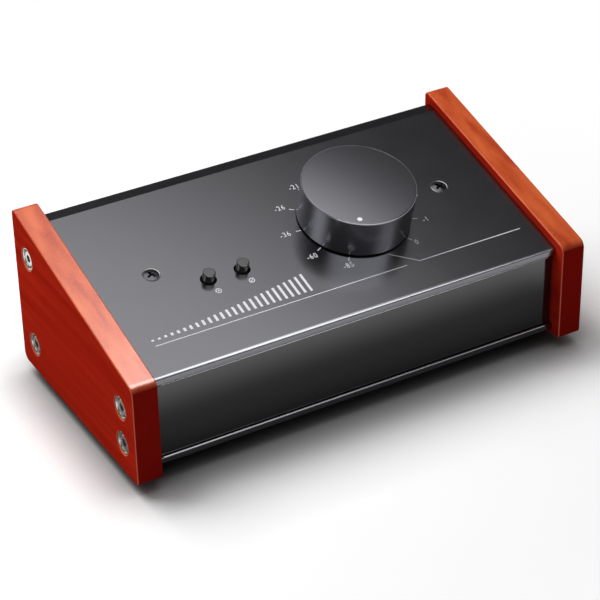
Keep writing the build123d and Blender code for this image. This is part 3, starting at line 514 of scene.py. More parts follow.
@dataclass(frozen=True)
class Palette:
    """The finishes that the sub-assemblies share; the knob's own depends on where it stands."""

    shell: Finish = BlastedAluminium("bead_blasted_anodised_aluminium")
    plate: Finish = GlossEnamel("gloss_black_enamel")
    wood: Finish = StainedBeech("stained_lacquered_beech")
    bright: Finish = PlatedMetal("nickel_plated_steel")
    black_screw: Finish = PlatedMetal("black_oxide_steel", colour="#55565a", roughness=0.3)
    dark_screw: Finish = PlatedMetal("dark_nickel_steel", colour="#717176", roughness=0.26)
    # Near black for the cut faces of the cross recesses: painted shade.
    recess: Finish = PlatedMetal("oiled_black_recess", colour="#0c0c0d", roughness=0.5)
    zinc: Finish = PlatedMetal("black_chrome_zinc", colour="#3a3a3d", roughness=0.26)
    # A brighter metal than the shell for the lower lip's rolled edge: it paints part of the edge's highlight.
    bare: Finish = PlatedMetal("drawn_bare_aluminium", colour="#b8b8bc", roughness=0.18)
    brass: Finish = PlatedMetal("turned_brass", colour="#c9a253")
    tin: Finish = PlatedMetal("tinned_brass", colour="#d6d4ce", roughness=0.35)
    plastic: Finish = Moulded("moulded_nylon")
    rubber: Finish = Moulded("neoprene_rubber", colour="#131314", roughness=0.8)
    cap: Finish = Moulded("polished_abs", colour="#131316", roughness=0.2, grain_depth_mm=0.001, ior=2.0)
    pointer: Finish = PrintedInk("white_filler_paint", colour="#f2f2f4")
    ink: Finish = PrintedInk("screen_printed_ink")
    board: Finish = CircuitBoard("green_solder_mask")
    resistor: Finish = ResistorLacquer("resistor_lacquer")
    ribbon: Finish = RibbonVinyl("ribbon_vinyl")


@dataclass(frozen=True)
class SatinLaminate(Finish):
    """The table's pale laminate: polished, with a painted contact shadow and painted shade round the object
    in reflections, plain white far from it.
    """

    footprint: Triple = (0.085, 0.043, 0.0)
    paleness: float = 0.9
    # Reach and level of the painted shade round the object in reflections.
    white_reach: Pair = (0.11, 0.22)
    painted_dim_reach: Pair = (0.022, 0.052)
    painted_dim_level: float = 0.22
    # Reach, strength and samples of the painted contact shadow.
    painted_shadow_reach: float = 0.018
    painted_shadow_power: float = 1.5
    painted_shadow_samples: int = 16
    roughness: float = 0.1
    ior: float = 1.5
    sheen: float = 0.5

    def surface(self, tree: Tree) -> Socket:
        """A painted contact shadow darkens it where the object touches it and painted shade dims it round the
        object in reflections; clear from below.
        """
        point = coordinate(tree)
        path = add_node(tree, "ShaderNodeLightPath").outputs
        away = remap(tree, vector_math(tree, "LENGTH", point), self.white_reach, slope="SMOOTHSTEP")
        direct = calculate(tree, "MAXIMUM", path["Is Camera Ray"], path["Is Glossy Ray"])
        direct = calculate(tree, "MAXIMUM", direct, path["Is Transmission Ray"])
        fade = calculate(tree, "MULTIPLY", away, direct)
        beyond = vector_math(tree, "SUBTRACT", vector_math(tree, "ABSOLUTE", point), self.footprint)
        gap = vector_math(tree, "LENGTH", vector_math(tree, "MAXIMUM", beyond, (0.0, 0.0, 0.0)))
        # Near the object the floor is painted darker for glossy rays: painted shade in its reflections.
        near = remap(tree, gap, self.painted_dim_reach, (self.painted_dim_level, 1.0), slope="SMOOTHSTEP")
        painted_reflection_shade = mix(tree, path["Is Glossy Ray"], 1.0, near, Mix.VALUE)
        # An occlusion node darkens the floor where the object stands close: a painted contact shadow.
        painted_occlusion = add_node(tree, "ShaderNodeAmbientOcclusion", {"Distance": self.painted_shadow_reach},
                       samples=self.painted_shadow_samples)
        painted_contact_shadow = calculate(tree, "POWER", painted_occlusion.outputs["AO"], self.painted_shadow_power)
        shade = mix(tree, calculate(tree, "MULTIPLY", painted_reflection_shade, painted_contact_shadow), grey(0.0), grey(self.paleness))
        polish = mix(tree, path["Is Glossy Ray"], self.sheen, 0.0, Mix.VALUE)
        laminate = shader(tree, shade, self.roughness, IOR=self.ior, Specular_IOR_Level=polish)
        white = add_node(tree, "ShaderNodeEmission", {"Color": grey(1.0), "Strength": 1.0})
        above = add_node(tree, "ShaderNodeMixShader", {0: fade, 1: laminate, 2: white.outputs["Emission"]})
        below = add_node(tree, "ShaderNodeNewGeometry").outputs["Backfacing"]
        clear = add_node(tree, "ShaderNodeBsdfTransparent").outputs["BSDF"]
        sides = add_node(tree, "ShaderNodeMixShader", {0: below, 1: above.outputs["Shader"], 2: clear})
        return sides.outputs["Shader"]


# ---- making and dressing pieces
def add_object(name: str, data: bpy.types.ID) -> bpy.types.Object:
    """Adds an object to the scene.

    Args:
        name: The object's name.
        data: Its mesh, text, lamp or camera.

    Returns:
        The new object.
    """
    made = bpy.data.objects.new(name, data)
    bpy.context.scene.collection.objects.link(made)
    return made


def mesh_data(name: str, shape: Shape, finish: Finish) -> bpy.types.Mesh:
    """Turns a bmesh into mesh data.

    Args:
        name: The name of the mesh.
        shape: The bmesh, which is used up.
        finish: The finish of the mesh.

    Returns:
        The mesh with its material.
    """
    data = bpy.data.meshes.new(name)
    shape.to_mesh(data)
    shape.free()
    data.materials.append(finish.material())
    return data


def applied(source: bpy.types.Object) -> bpy.types.Mesh:
    """The mesh of a text, or of a piece with its modifiers applied."""
    bpy.context.view_layer.update()
    return bpy.data.meshes.new_from_object(source.evaluated_get(bpy.context.evaluated_depsgraph_get()))


def add_piece(name: str, shape: Shape, finish: Finish, turn_out: bool = True) -> bpy.types.Object:
    """Turns a bmesh into a shaded piece that rides on the case.

    Args:
        name: The piece's name.
        shape: Its shape in the model's metres; it is used up.
        finish: Its finish.
        turn_out: Whether the faces are turned outwards first.

    Returns:
        The new piece.
    """
    if turn_out:
        bmesh.ops.recalc_face_normals(shape, faces=shape.faces)
    made = add_object(name, mesh_data(name, shape, finish))
    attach(made, ROOT)
    LOG.info("%s made", name)
    return made


def add_turned(shape: Shape, outline: Outline, seat: Matrix, steps: int = 48) -> None:
    """Adds one turned body, a closed outline swung round its own Z axis.

    Args:
        shape: The bmesh that gets the body.
        outline: Radius and height of each corner, in millimetres.
        seat: From the body's millimetres to the model's metres.
        steps: Number of steps round the axis.
    """
    rings = []
    for step in range(steps):
        angle = 2 * math.pi * step / steps
        rings.append([shape.verts.new(seat @ Vector((radius * math.cos(angle), radius * math.sin(angle), up)))
                      for radius, up in outline])
    for ring, following in zip(rings, rings[1:] + rings[:1]):
        for index in range(len(outline)):
            after = (index + 1) % len(outline)
            shape.faces.new((ring[index], following[index], following[after], ring[after]))


def corners_of(node: str) -> list[Vector]:
    """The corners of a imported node, in the model's metres."""
    return [vertex.co.copy() for vertex in frame["nodes"][node].data.vertices]


def centres(corners: Iterable[Vector], spread_mm: float) -> list[Vector]:
    """The middles of separate bodies, such as four washers.

    Args:
        corners: The corners of all the bodies, in the model's metres.
        spread_mm: Corners closer than this belong to one body.

    Returns:
        One middle for each body, in the model's metres.
    """
    groups: list[list[Vector]] = []
    for corner in corners:
        near = next((group for group in groups if (group[0] - corner).length < spread_mm * MM), None)
        if near is None:
            groups.append([corner])
        else:
            near.append(corner)
    return [(Vector(map(min, zip(*group))) + Vector(map(max, zip(*group)))) / 2 for group in groups]


def dress(finish: Finish, *nodes: str) -> None:
    """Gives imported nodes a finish.

    Args:
        finish: The finish that their material slots take.
        nodes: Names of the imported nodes.
    """
    for name in nodes:
        mesh = frame["nodes"][name].data
        mesh.materials.clear()
        mesh.materials.append(finish.material())
        LOG.info("%s dressed in %s", name, finish.name)


def ease(node: str, radius_mm: float, sharp_deg: float = 50.0, steps: int = 3, weld_mm: float = 0.01) -> None:
    """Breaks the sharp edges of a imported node, so that they catch the light.

    Args:
        node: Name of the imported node.
        radius_mm: How far each edge is broken.
        sharp_deg: The least angle of an edge that is broken.
        steps: Faces across each broken edge.
        weld_mm: Corners closer than this are joined first.
    """
    piece = frame["nodes"][node]
    piece.modifiers.new("weld", "WELD").merge_threshold = weld_mm * MM
    bevel = piece.modifiers.new("ease", "BEVEL")
    bevel.width = radius_mm * MM
    bevel.segments = steps
    bevel.limit_method = "ANGLE"
    bevel.angle_limit = math.radians(sharp_deg)
    piece.modifiers.new("normals", "WEIGHTED_NORMAL").keep_sharp = True


# ---- the sloping panel and its print
@dataclass(frozen=True)
class PanelFace:
    """The sloping panel's outer face; x runs to the right and v up the slope, both in millimetres."""

    dial_x_mm: float = 20.0
    dial_v_mm: float = 43.6

    @property
    def joint(self) -> dict:
        """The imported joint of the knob, whose place lies on the face."""
        return next(j for j in frame["joints"] if j["name"] == "volume_turn")

    @property
    def normal(self) -> Vector:
        """The direction out of the panel."""
        return -Vector(self.joint["axis"]).normalized()

    @property
    def upward(self) -> Vector:
        """The direction up the slope."""
        return self.normal.cross(Vector((1.0, 0.0, 0.0)))

    @property
    def tilt(self) -> float:
        """The slope's angle in radians."""
        return math.asin(-self.normal.y)

    def matrix(self, x_mm: float, v_mm: float, height_mm: float = 0.0) -> Matrix:
        """The frame of a print that lies on the face.

        Args:
            x_mm: Place across the panel.
            v_mm: Place up the slope, from the panel's front edge.
            height_mm: Height above the face.

        Returns:
            A matrix from the print's own millimetres to the model's metres.
        """
        across = Vector((1.0, 0.0, 0.0))
        spot = Vector(self.joint["pos_m"])
        spot += across * (x_mm - self.dial_x_mm) * MM
        spot += self.upward * (v_mm - self.dial_v_mm) * MM
        spot += self.normal * height_mm * MM
        turn = Matrix((across, self.upward, self.normal)).transposed().to_4x4()
        return Matrix.Translation(spot) @ turn @ Matrix.Scale(MM, 4)


@dataclass
class Assembly:
    """A sub-assembly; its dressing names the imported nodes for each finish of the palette."""

    finishes: Palette
    face: PanelFace
    dressing: ClassVar[dict[str, str]] = {}

    def build(self) -> None:
        """Dresses the sub-assembly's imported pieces; some add pieces of their own."""
        for finish, nodes in self.dressing.items():
            dress(getattr(self.finishes, finish), *nodes.split())


@dataclass(frozen=True)
class BarRow:
    """A row of rising bars; its foot runs along v and its first bar stands at x."""

    x_mm: float = -68.0
    v_mm: float = 18.4
    count: int = 26
    pitch_mm: float = 2.3
    width_mm: float = 0.9
    lowest_mm: float = 0.7
    rise_mm: float = 7.3
    swell: float = 1.4


@dataclass
class PanelPrint(Assembly):
    """White screen print on the sloping panel: dial scale, rules, level bars and ring signs."""

    ink_mm: float = 0.02
    line_mm: float = 0.28
    tick_reach_mm: Pair = (20.0, 21.8)
    first_angle_deg: float = 235.5
    step_deg: float = 29.0
    numbers: tuple[str, ...] = ("-85", "-60", "-36", "-26", "-21", "-16", "-10", "-5", "-2", "-1", "0")
    number_radius_mm: float = 22.9
    number_height_mm: float = 2.25
    digit_height: float = 0.73  # share of the type's size
    digit_push: float = 0.4446  # heights by which each digit moves a number at the dial's side outwards
    digit_spacing: float = 1.2
    digit_steps: int = 4
    condense: float = 0.84
    rule_mm: tuple[Pair, Pair] = ((-68.3, 16.25), (24.6, 16.25))
    leader_mm: tuple[tuple[Pair, Pair], ...] = (((21.7, 23.05), (29.8, 16.46)),
                                                ((29.7, 16.47), (70.0, 16.48)))
    sign_places_mm: tuple[Pair, Pair] = ((-38.5, 30.2), (-26.3, 30.2))
    sign_ring_mm: Pair = (0.72, 1.05)
    sign_dot_mm: Pair = (0.05, 0.32)
    slash_reach_mm: float = 0.95
    slash_mm: float = 0.3
    bars: BarRow = BarRow()

    def build(self) -> None:
        """Prints everything on the panel."""
        self.scale()
        self.rules()
        self.level_bars()
        self.button_signs()

    def piece(self, name: str, outlines: list[Outline]) -> None:
        """Makes one printed piece of closed outlines.

        Args:
            name: The piece's name.
            outlines: Closed outlines in panel millimetres, counter-clockwise.
        """
        shape = bmesh.new()
        for outline in outlines:
            floor = [shape.verts.new((x, v, 0.0)) for x, v in outline]
            roof = [shape.verts.new((x, v, self.ink_mm)) for x, v in outline]
            shape.faces.new(roof)
            shape.faces.new(floor[::-1])
            for index in range(len(outline)):
                after = (index + 1) % len(outline)
                shape.faces.new((floor[index], floor[after], roof[after], roof[index]))
        shape.transform(self.face.matrix(0.0, 0.0))
        add_piece(name, shape, self.finishes.ink, turn_out=False)

    @staticmethod
    def stroke(start: Pair, end: Pair, width: float) -> Outline:
        """The outline of a straight printed line.

        Args:
            start: First point in millimetres.
            end: Last point in millimetres.
            width: Width of the line in millimetres.

        Returns:
            Four corners, counter-clockwise.
        """
        along = (Vector(end) - Vector(start)).normalized()
        aside = Vector((-along.y, along.x)) * width / 2
        corners = (Vector(start) - aside, Vector(end) - aside, Vector(end) + aside, Vector(start) + aside)
        return [(corner.x, corner.y) for corner in corners]

    @staticmethod
    def ring(centre: Pair, radii: Pair, steps: int = 32) -> list[Outline]:
        """The pieces of a printed ring.

        Args:
            centre: Centre in millimetres.
            radii: Inner and outer radius in millimetres.
            steps: How many pieces the ring has.

        Returns:
            One four-cornered outline for each piece.
        """
        inner, outer = radii
        turns = [math.radians(360.0 * step / steps) for step in range(steps + 1)]
        return [[(centre[0] + radius * math.cos(turn), centre[1] + radius * math.sin(turn))
                 for radius, turn in ((inner, first), (outer, first), (outer, second), (inner, second))]
                for first, second in zip(turns, turns[1:])]

    def number(self, words: str, middle: Pair) -> bpy.types.Mesh:
        """Makes a flat number in the model's frame.

        Args:
            words: The digits.
            middle: Place of the digits' middle on the panel, in millimetres.

        Returns:
            The number's mesh.
        """
        curve = bpy.data.curves.new("number", "FONT")
        curve.body = words
        curve.size = self.number_height_mm / self.digit_height
        curve.align_x = "CENTER"
        curve.extrude = self.ink_mm / 2
        curve.resolution_u = self.digit_steps
        curve.space_character = self.digit_spacing
        text = add_object("number", curve)
        data = applied(text)
        bpy.data.objects.remove(text)
        narrow = Matrix.Diagonal((self.condense, 1.0, 1.0, 1.0))
        sink = Matrix.Translation((0.0, -self.number_height_mm / 2, 0.0))
        data.transform(self.face.matrix(*middle, self.ink_mm / 2) @ narrow @ sink)
        return data

    def scale(self) -> None:
        """Prints the marks round the dial and their numbers."""
        marks, digits = [], bmesh.new()
        for index, words in enumerate(self.numbers):
            angle = math.radians(self.first_angle_deg - self.step_deg * index)
            across, up = math.cos(angle), math.sin(angle)
            push = self.digit_push * len(words) * self.number_height_mm * across ** 2
            inner, outer, middle = ((self.face.dial_x_mm + across * reach, self.face.dial_v_mm + up * reach)
                                    for reach in (*self.tick_reach_mm, self.number_radius_mm + push))
            marks.append(self.stroke(inner, outer, self.line_mm))
            digits.from_mesh(self.number(words, middle))
        self.piece("scale_marks", marks)
        add_piece("scale_numbers", digits, self.finishes.ink, turn_out=False)

    def rules(self) -> None:
        """Prints the long thin rule and the leader that runs from the dial."""
        self.piece("front_rule", [self.stroke(*self.rule_mm, self.line_mm)])
        self.piece("dial_leader", [self.stroke(*line, self.line_mm) for line in self.leader_mm])

    def level_bars(self) -> None:
        """Prints a generic row of rising bars in front of the buttons."""
        outlines = []
        for index in range(self.bars.count):
            x_mm = self.bars.x_mm + index * self.bars.pitch_mm
            share = (index / (self.bars.count - 1)) ** self.bars.swell
            top = self.bars.v_mm + (self.bars.lowest_mm + self.bars.rise_mm * share)
            outlines.append(self.stroke((x_mm, self.bars.v_mm), (x_mm, top), self.bars.width_mm))
        self.piece("level_bars", outlines)

    def button_signs(self) -> None:
        """Prints a ring with a dot in front of one button and a struck ring in front of the other."""
        dotted, struck = self.sign_places_mm
        reaches = (-self.slash_reach_mm, self.slash_reach_mm)
        ends = [(struck[0] + reach, struck[1] + reach) for reach in reaches]
        self.piece("button_signs", [
            *self.ring(dotted, self.sign_ring_mm), *self.ring(dotted, self.sign_dot_mm),
            *self.ring(struck, self.sign_ring_mm), self.stroke(*ends, self.slash_mm)])


# ---- the studio
@dataclass(frozen=True)
class Lamp:
    """One area lamp: its place, what it aims at, its size in metres and its radiance."""

    name: str
    place: Triple
    aim: Triple
    width: float
    depth: float
    radiance: float
    round: bool = False
    soft_edge: float = 0.0
    lights: bool = True
    mirrors: bool = True
    only_on: tuple[str, ...] = ()

    def build(self) -> None:
        """Hangs the lamp and, where it names pieces, keeps its light to them."""
        data = bpy.data.lights.new(self.name, "AREA")
        data.shape = "DISK" if self.round else "RECTANGLE"
        data.size = self.width
        data.size_y = self.depth
        area = math.pi / 4 * self.width ** 2 if self.round else self.width * self.depth
        data.energy = self.radiance * math.pi * area
        if self.soft_edge:
            self.fade(empty_tree(data))
        made = add_object(self.name, data)
        made.location = self.place
        made.visible_camera = False
        made.visible_diffuse = self.lights
        made.visible_glossy = self.mirrors
        aim = Vector(self.aim) - Vector(self.place)
        made.rotation_euler = aim.to_track_quat("-Z", "Y").to_euler()
        if self.only_on:
            reach = bpy.data.collections.new(f"{self.name}_reach")
            for name in self.only_on:
                reach.objects.link(bpy.data.objects[name])
            made.light_linking.receiver_collection = reach

    def fade(self, tree: Tree) -> None:
        """Dims the soft edge of the lamp towards its rim.

        Args:
            tree: The lamp's empty node tree.
        """
        rim = 0.5  # a lamp's own coordinates run from 0 to 1
        spot = add_node(tree, "ShaderNodeNewGeometry").outputs["Parametric"]
        reach = vector_math(tree, "DISTANCE", spot, (rim, rim, 0.0))
        fall = remap(tree, reach, (rim * (1 - self.soft_edge), rim), (1.0, 0.0))
        glow = add_node(tree, "ShaderNodeEmission", {"Strength": fall})
        add_node(tree, "ShaderNodeOutputLight", {"Surface": glow.outputs["Emission"]})


@dataclass
class Studio:
    """The table, the light and the camera; none of it is part of the object.

    The cards only show as reflections, each on the few pieces that it names.
    """

    camera_place: Triple = (-0.306432, -0.538126, 0.409266)
    camera_right: Triple = (0.86437, -0.50257, -0.01697)
    camera_up: Triple = (0.27884, 0.45094, 0.84788)
    lens_mm: float = 129.35
    sensor_mm: float = 36.0
    clip: Pair = (0.01, 20.0)
    table_radius: float = 4.0
    table_sides: int = 96
    room_light: float = 0.3
    ceiling_light: float = 0.05
    dim_heights: Pair = (0.05, 0.42)
    lamps: tuple[Lamp, ...] = (
        Lamp("softbox", (-0.012, 0.1, 0.6), (-0.012, 0.1, 0.0), 0.79, 0.79, 1.28, round=True,
             soft_edge=0.38),
        Lamp("key", (-0.25, 0.35, 0.7), (0.0, 0.0, 0.03), 0.5, 0.5, 8.0, mirrors=False),
        Lamp("front_card", (0.17, -0.24, 0.494), (0.03, 0.05, 0.099), 0.2, 0.46, 5.5, lights=False,
             only_on=("top_shell", "upper_lip_bead")),
        Lamp("bend_card", (0.21, 0.0, 0.56), (0.03, -0.05, 0.04), 0.2, 0.13, 2.0, lights=False,
             only_on=("top_shell",)),
        Lamp("left_card", (-0.58, 0.0, 0.6), (0.0, 0.0, 0.04), 0.5, 0.5, 3.4, round=True, soft_edge=0.6,
             lights=False, only_on=("top_shell",)),
        Lamp("knob_card", (-0.05, -0.5, 0.35), (0.02, 0.0, 0.045), 1.2, 0.35, 2.2, lights=False,
             only_on=("volume_knob", "mono_button", "mute_button")),
        Lamp("lip_card", (0.08, -0.36, 0.46), (-0.08, -0.04, 0.01), 0.44, 0.44, 2.6, round=True,
             soft_edge=0.8, lights=False, only_on=("lower_lip_bead",)),
        Lamp("cheek_card", (0.12, -0.02, 0.52), (-0.08, -0.05, 0.04), 0.34, 0.36, 17.0, lights=False,
             only_on=("left_cheek",)),
    )

    def camera(self) -> None:
        """Sets up the camera."""
        data = bpy.data.cameras.new("camera")
        data.lens = self.lens_mm
        data.sensor_width = self.sensor_mm
        data.clip_start, data.clip_end = self.clip
        made = add_object("camera", data)
        right, up = Vector(self.camera_right), Vector(self.camera_up)
        turn = Matrix((right, up, right.cross(up))).transposed().to_4x4()
        made.matrix_world = Matrix.Translation(self.camera_place) @ turn
        bpy.context.scene.camera = made

    def light(self) -> None:
        """Hangs the lamps; the pieces that they name have to be there."""
        for lamp in self.lamps:
            lamp.build()

    def world(self) -> None:
        """Surrounds the table with a white room that turns dim above the horizon in reflections."""
        world = bpy.data.worlds.new("studio_room")
        bpy.context.scene.world = world
        tree = empty_tree(world)
        path = add_node(tree, "ShaderNodeLightPath").outputs
        height = axes(tree, coordinate(tree, "Generated"))["Z"]
        ceiling = remap(tree, height, self.dim_heights, (1.0, self.ceiling_light), slope="SMOOTHSTEP")
        mirrored = calculate(tree, "MAXIMUM", path["Is Glossy Ray"], path["Is Transmission Ray"])
        seen = mix(tree, mirrored, self.room_light, ceiling, Mix.VALUE)
        strength = mix(tree, path["Is Camera Ray"], seen, 1.0, Mix.VALUE)
        background = add_node(tree, "ShaderNodeBackground", {"Color": grey(1.0), "Strength": strength})
        add_node(tree, "ShaderNodeOutputWorld", {"Surface": background.outputs["Background"]})

    def table(self) -> None:
        """Lays a pale polished table under the object."""
        shape = bmesh.new()
        bmesh.ops.create_circle(shape, cap_ends=True, segments=self.table_sides, radius=self.table_radius)
        made = add_object("table", mesh_data("table", shape, SatinLaminate("pale_satin_laminate")))


# ---- sub-assemblies
@dataclass(frozen=True)
class Bead:
    """The rolled edge of a shell's lip, a rounded bar placed from the lip's front corner."""

    name: str
    back_mm: float
    drop_mm: float
    depth_mm: float
    height_mm: float
    reach_mm: float = 75.2
    sides: int = 24
    spans: int = 60


@dataclass(frozen=True)
class ScrewHead:
    """A raised, cross-recessed head; heights count from the panel's face."""

    spread_mm: float = 6.5
    crown_mm: float = 0.45
    crown_radius_mm: float = 2.7
    arch_radii_mm: tuple[float, ...] = (0.02, 0.5, 1.0, 1.5, 2.0, 2.3, 2.55)
    edge_mm: float = 2.6
    sink_mm: float = 0.1
    # A bright ring round the head: a painted highlight on the countersunk edge.
    highlight_rim_mm: tuple[Pair, ...] = ((2.62, -0.1), (3.0, -0.1), (3.0, 0.04), (2.86, 0.12), (2.68, 0.06))
    turn_deg: float = 30.0
    arm_mm: Triple = (3.7, 0.95, 1.1)
    arm_height_mm: float = 0.52

    @property
    def outline(self) -> Outline:
        """The head's outline, from its hub over the crown to its edge and back under it."""
        arch = [(radius, self.crown_mm * (1 - (radius / self.crown_radius_mm) ** 2))
                for radius in self.arch_radii_mm]
        return [*arch, (self.edge_mm, 0.0), (self.edge_mm, -self.sink_mm), (arch[0][0], -self.sink_mm)]


@dataclass
class Case(Assembly):
    """The extruded case: two shells, the gloss front plate, the rear plate, feet and screws."""

    dressing = {"shell": "top_shell bottom_shell rear_panel", "plate": "front_panel", "rubber": "rubber_feet",
                "dark_screw": "foot_screws panel_screws"}
    lip_depth_mm: float = 0.3
    lower_bead: Bead = Bead("lower_lip_bead", back_mm=0.4, drop_mm=0.05, depth_mm=0.38, height_mm=0.42)
    upper_bead: Bead = Bead("upper_lip_bead", back_mm=0.65, drop_mm=0.62, depth_mm=0.55, height_mm=0.38)
    head: ScrewHead = ScrewHead()

    def build(self) -> None:
        """Dresses the case's pieces and adds the lips' edges and the screws' heads."""
        super().build()
        front = min(corner.y for corner in corners_of("bottom_shell"))
        lip = front + self.lip_depth_mm * MM
        lower = max(corner.z for corner in corners_of("bottom_shell") if corner.y < lip)
        upper = min(corner.z for corner in corners_of("top_shell") if corner.y < lip)
        # The lower lip's edge takes the brighter metal, which paints part of its highlight.
        self.edge(self.lower_bead, front / MM, lower / MM, self.finishes.bare)
        self.edge(self.upper_bead, front / MM, upper / MM, self.finishes.shell)
        self.screw_heads()

    def edge(self, bead: Bead, front_mm: float, lip_mm: float, finish: Finish) -> None:
        """Adds the rolled edge of a shell's lip across the front.

        Args:
            bead: The edge's name and measures.
            front_mm: Y of the case's front.
            lip_mm: Z of the lip's corner.
            finish: The edge's finish.
        """
        shape = bmesh.new()
        middle = (front_mm + bead.back_mm, lip_mm - bead.drop_mm)
        turns = [math.radians(360 / bead.sides * side) for side in range(bead.sides)]
        places = [bead.reach_mm * (span / (bead.spans / 2) - 1) for span in range(bead.spans + 1)]
        hoops = [[shape.verts.new((x * MM, (middle[0] + bead.depth_mm * math.cos(turn)) * MM,
                                   (middle[1] + bead.height_mm * math.sin(turn)) * MM)) for turn in turns]
                 for x in places]
        for hoop, following in zip(hoops, hoops[1:]):
            for index in range(bead.sides):
                after = (index + 1) % bead.sides
                shape.faces.new((hoop[index], hoop[after], following[after], following[index])).smooth = True
        shape.faces.new(hoops[0])
        shape.faces.new(hoops[-1])
        add_piece(bead.name, shape, finish)

    def screw_heads(self) -> None:
        """Adds the raised heads of the two panel screws: a crown, its cross recess and a bright ring round
        it, a painted highlight on the countersunk edge.
        """
        head, spot, normal = self.head, Vector(self.face.joint["pos_m"]), self.face.normal
        tops = [corner for corner in corners_of("panel_screws")
                if (corner - spot).dot(normal) > -head.sink_mm * MM]
        crowns, highlight_rims, cutter = bmesh.new(), bmesh.new(), bmesh.new()
        turn = self.face.matrix(0.0, 0.0).to_3x3().to_4x4()
        lift = Matrix.Translation((0, 0, head.arm_height_mm))
        for middle in centres(tops, head.spread_mm):
            seat = Matrix.Translation(middle - normal * (middle - spot).dot(normal)) @ turn
            add_turned(crowns, head.outline, seat)
            add_turned(highlight_rims, list(head.highlight_rim_mm), seat)
            for angle in (head.turn_deg, head.turn_deg + 90.0):
                arm = seat @ Matrix.Rotation(math.radians(angle), 4, "Z") @ lift
                bmesh.ops.create_cube(cutter, size=1.0, matrix=arm @ Matrix.Diagonal((*head.arm_mm, 1.0)))
        made = add_piece("panel_screw_heads", crowns, self.finishes.dark_screw)
        # The bright rings paint the highlight on the countersunk edges.
        add_piece("panel_screw_rims", highlight_rims, self.finishes.bright)
        self.recess(made, cutter)

    def recess(self, heads: bpy.types.Object, cutter: Shape) -> None:
        """Cuts the cross recesses; the cut faces take a near-black finish, painted shade in the recess.

        Args:
            heads: The screw heads.
            cutter: The crosses.
        """
        tool = add_object("recess", mesh_data("recess", cutter, self.finishes.recess))
        cut = heads.modifiers.new("recess", "BOOLEAN")
        cut.operation, cut.solver, cut.object = "DIFFERENCE", "EXACT", tool
        cut.use_self = True
        cut.material_mode = "TRANSFER"
        whole = applied(heads)
        heads.modifiers.remove(cut)
        heads.data = whole
        bpy.data.objects.remove(tool)


class Side(Enum):
    """The two ends of the case, each with its outward direction along X."""

    LEFT = -1.0
    RIGHT = 1.0


@dataclass
class Cheeks(Assembly):
    """The wooden cheeks and the bright screws and washers in their counterbores.

    The cup's rim gives radii and how deep each lies below the rim, which itself is sunk a little.
    """

    dressing = {"wood": "left_cheek right_cheek",
                "bright": "left_cheek_screws left_cheek_washers right_cheek_screws right_cheek_washers"}
    washer_spread_mm: float = 7.6
    cup_sink_mm: float = 0.35
    cup_foot_mm: float = 0.2
    cup_rim_mm: tuple[Pair, ...] = ((3.9, 0.15), (3.75, 0.0), (3.5, 0.0), (3.25, 0.25), (2.9, 1.5))
    cup_bore_mm: float = 2.75

    def build(self) -> None:
        """Dresses both sides and adds their cup washers."""
        super().build()
        for side in Side:
            self.cup_washers(side.name.lower(), side.value)

    def cup_washers(self, name: str, outward: float) -> None:
        """Adds the pressed cup washers, dished rings that fill the counterbores.

        Args:
            name: The side's name.
            outward: Its outward direction along X.
        """
        face = max(corner.x * outward for corner in corners_of(f"{name}_cheek"))
        turn = Matrix(((0, 0, outward), (0, 1, 0), (-outward, 0, 0))).to_4x4() @ Matrix.Scale(MM, 4)
        shape = bmesh.new()
        for middle in centres(corners_of(f"{name}_cheek_washers"), self.washer_spread_mm):
            rim = (face - middle.x * outward) / MM - self.cup_sink_mm
            cup = [(self.cup_rim_mm[0][0], self.cup_foot_mm),
                   *((radius, rim - below) for radius, below in self.cup_rim_mm),
                   (self.cup_bore_mm, self.cup_foot_mm)]
            add_turned(shape, cup, Matrix.Translation(middle) @ turn)
        add_piece(f"{name}_cup_washers", shape, self.finishes.bright)


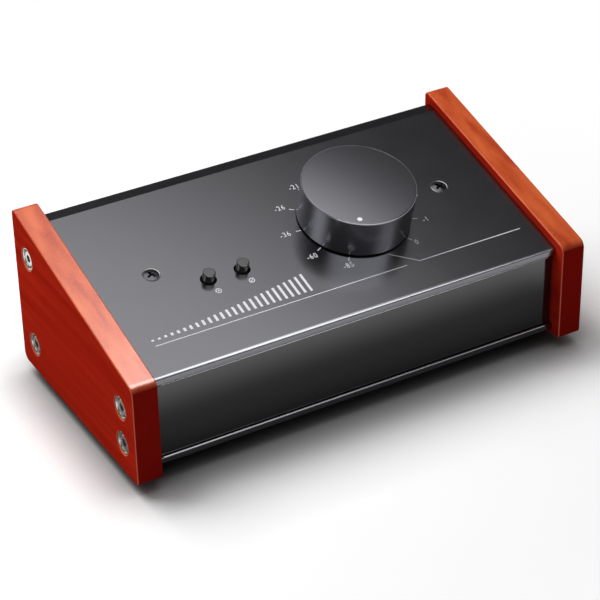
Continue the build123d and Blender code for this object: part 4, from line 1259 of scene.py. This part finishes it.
@dataclass
class LevelControl(Assembly):
    """The knob and the rotary control under it."""

    dressing = {"pointer": "knob_pointer", "brass": "knob_insert", "black_screw": "knob_set_screw",
                "bright": "pot_housing pot_bushing pot_washer pot_nut pot_shaft",
                "plastic": "pot_wafers pot_wipers", "tin": "pot_terminals"}

    def build(self) -> None:
        """Dresses the control and turns the knob's rings round its own axis."""
        super().build()
        centre = tuple(self.face.joint["pos_m"])
        dress(TurnedAluminium("turned_anodised_aluminium", centre=centre, tilt=self.face.tilt), "volume_knob")


@dataclass
class Buttons(Assembly):
    """The two latching push buttons and their switches."""

    dressing = {"cap": "mono_button mute_button", "tin": "switch_pins",
                "plastic": "mono_plunger mono_switch mute_plunger mute_switch"}
    cap_edge_mm: float = 0.3
    travel_mm: float = 2.3  # a little more than the button's own

    def build(self) -> None:
        """Dresses the buttons, eases their edges and adds their springs."""
        super().build()
        for name in ("mono", "mute"):
            ease(f"{name}_button", self.cap_edge_mm)
            self.coil(name)

    def coil(self, name: str) -> None:
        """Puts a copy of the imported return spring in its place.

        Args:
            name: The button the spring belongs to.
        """
        made = add_object(f"{name}_coil", frame["nodes"][f"{name}_spring"].data.copy())
        made.data.materials.clear()
        made.data.materials.append(self.finishes.bright.material())
        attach(made, ROOT)
        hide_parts(f"{name}_spring")
        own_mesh(made)


@dataclass
class Sockets(Assembly):
    """The rear sockets with their contacts, nut and screws."""

    dressing = {"plastic": "left_input_socket right_input_socket aux_socket",
                "zinc": "left_output_socket right_output_socket", "bright": "aux_nut",
                "tin": "left_input_contacts right_input_contacts left_output_pins right_output_pins aux_pins",
                "black_screw": "socket_screws"}


@dataclass
class Boards(Assembly):
    """The two circuit boards and what they carry."""

    dressing = {"board": "control_board io_board", "plastic": "control_header io_header",
                "bright": "board_standoffs", "black_screw": "board_screws", "resistor": "summing_resistors",
                "ribbon": "ribbon_cable"}


def main() -> None:
    """Builds the studio and every sub-assembly in order."""
    logging.basicConfig(level=logging.INFO, format="%(name)s: %(message)s")
    bpy.context.scene.view_settings.view_transform = "Standard"
    studio = Studio()
    studio.camera()
    studio.world()
    studio.table()

    finishes, face = Palette(), PanelFace()
    for assembly in (Case, Cheeks, LevelControl, Buttons, Sockets, Boards, PanelPrint):
        assembly(finishes, face).build()
    studio.light()


if __name__ == "__main__":
    main()
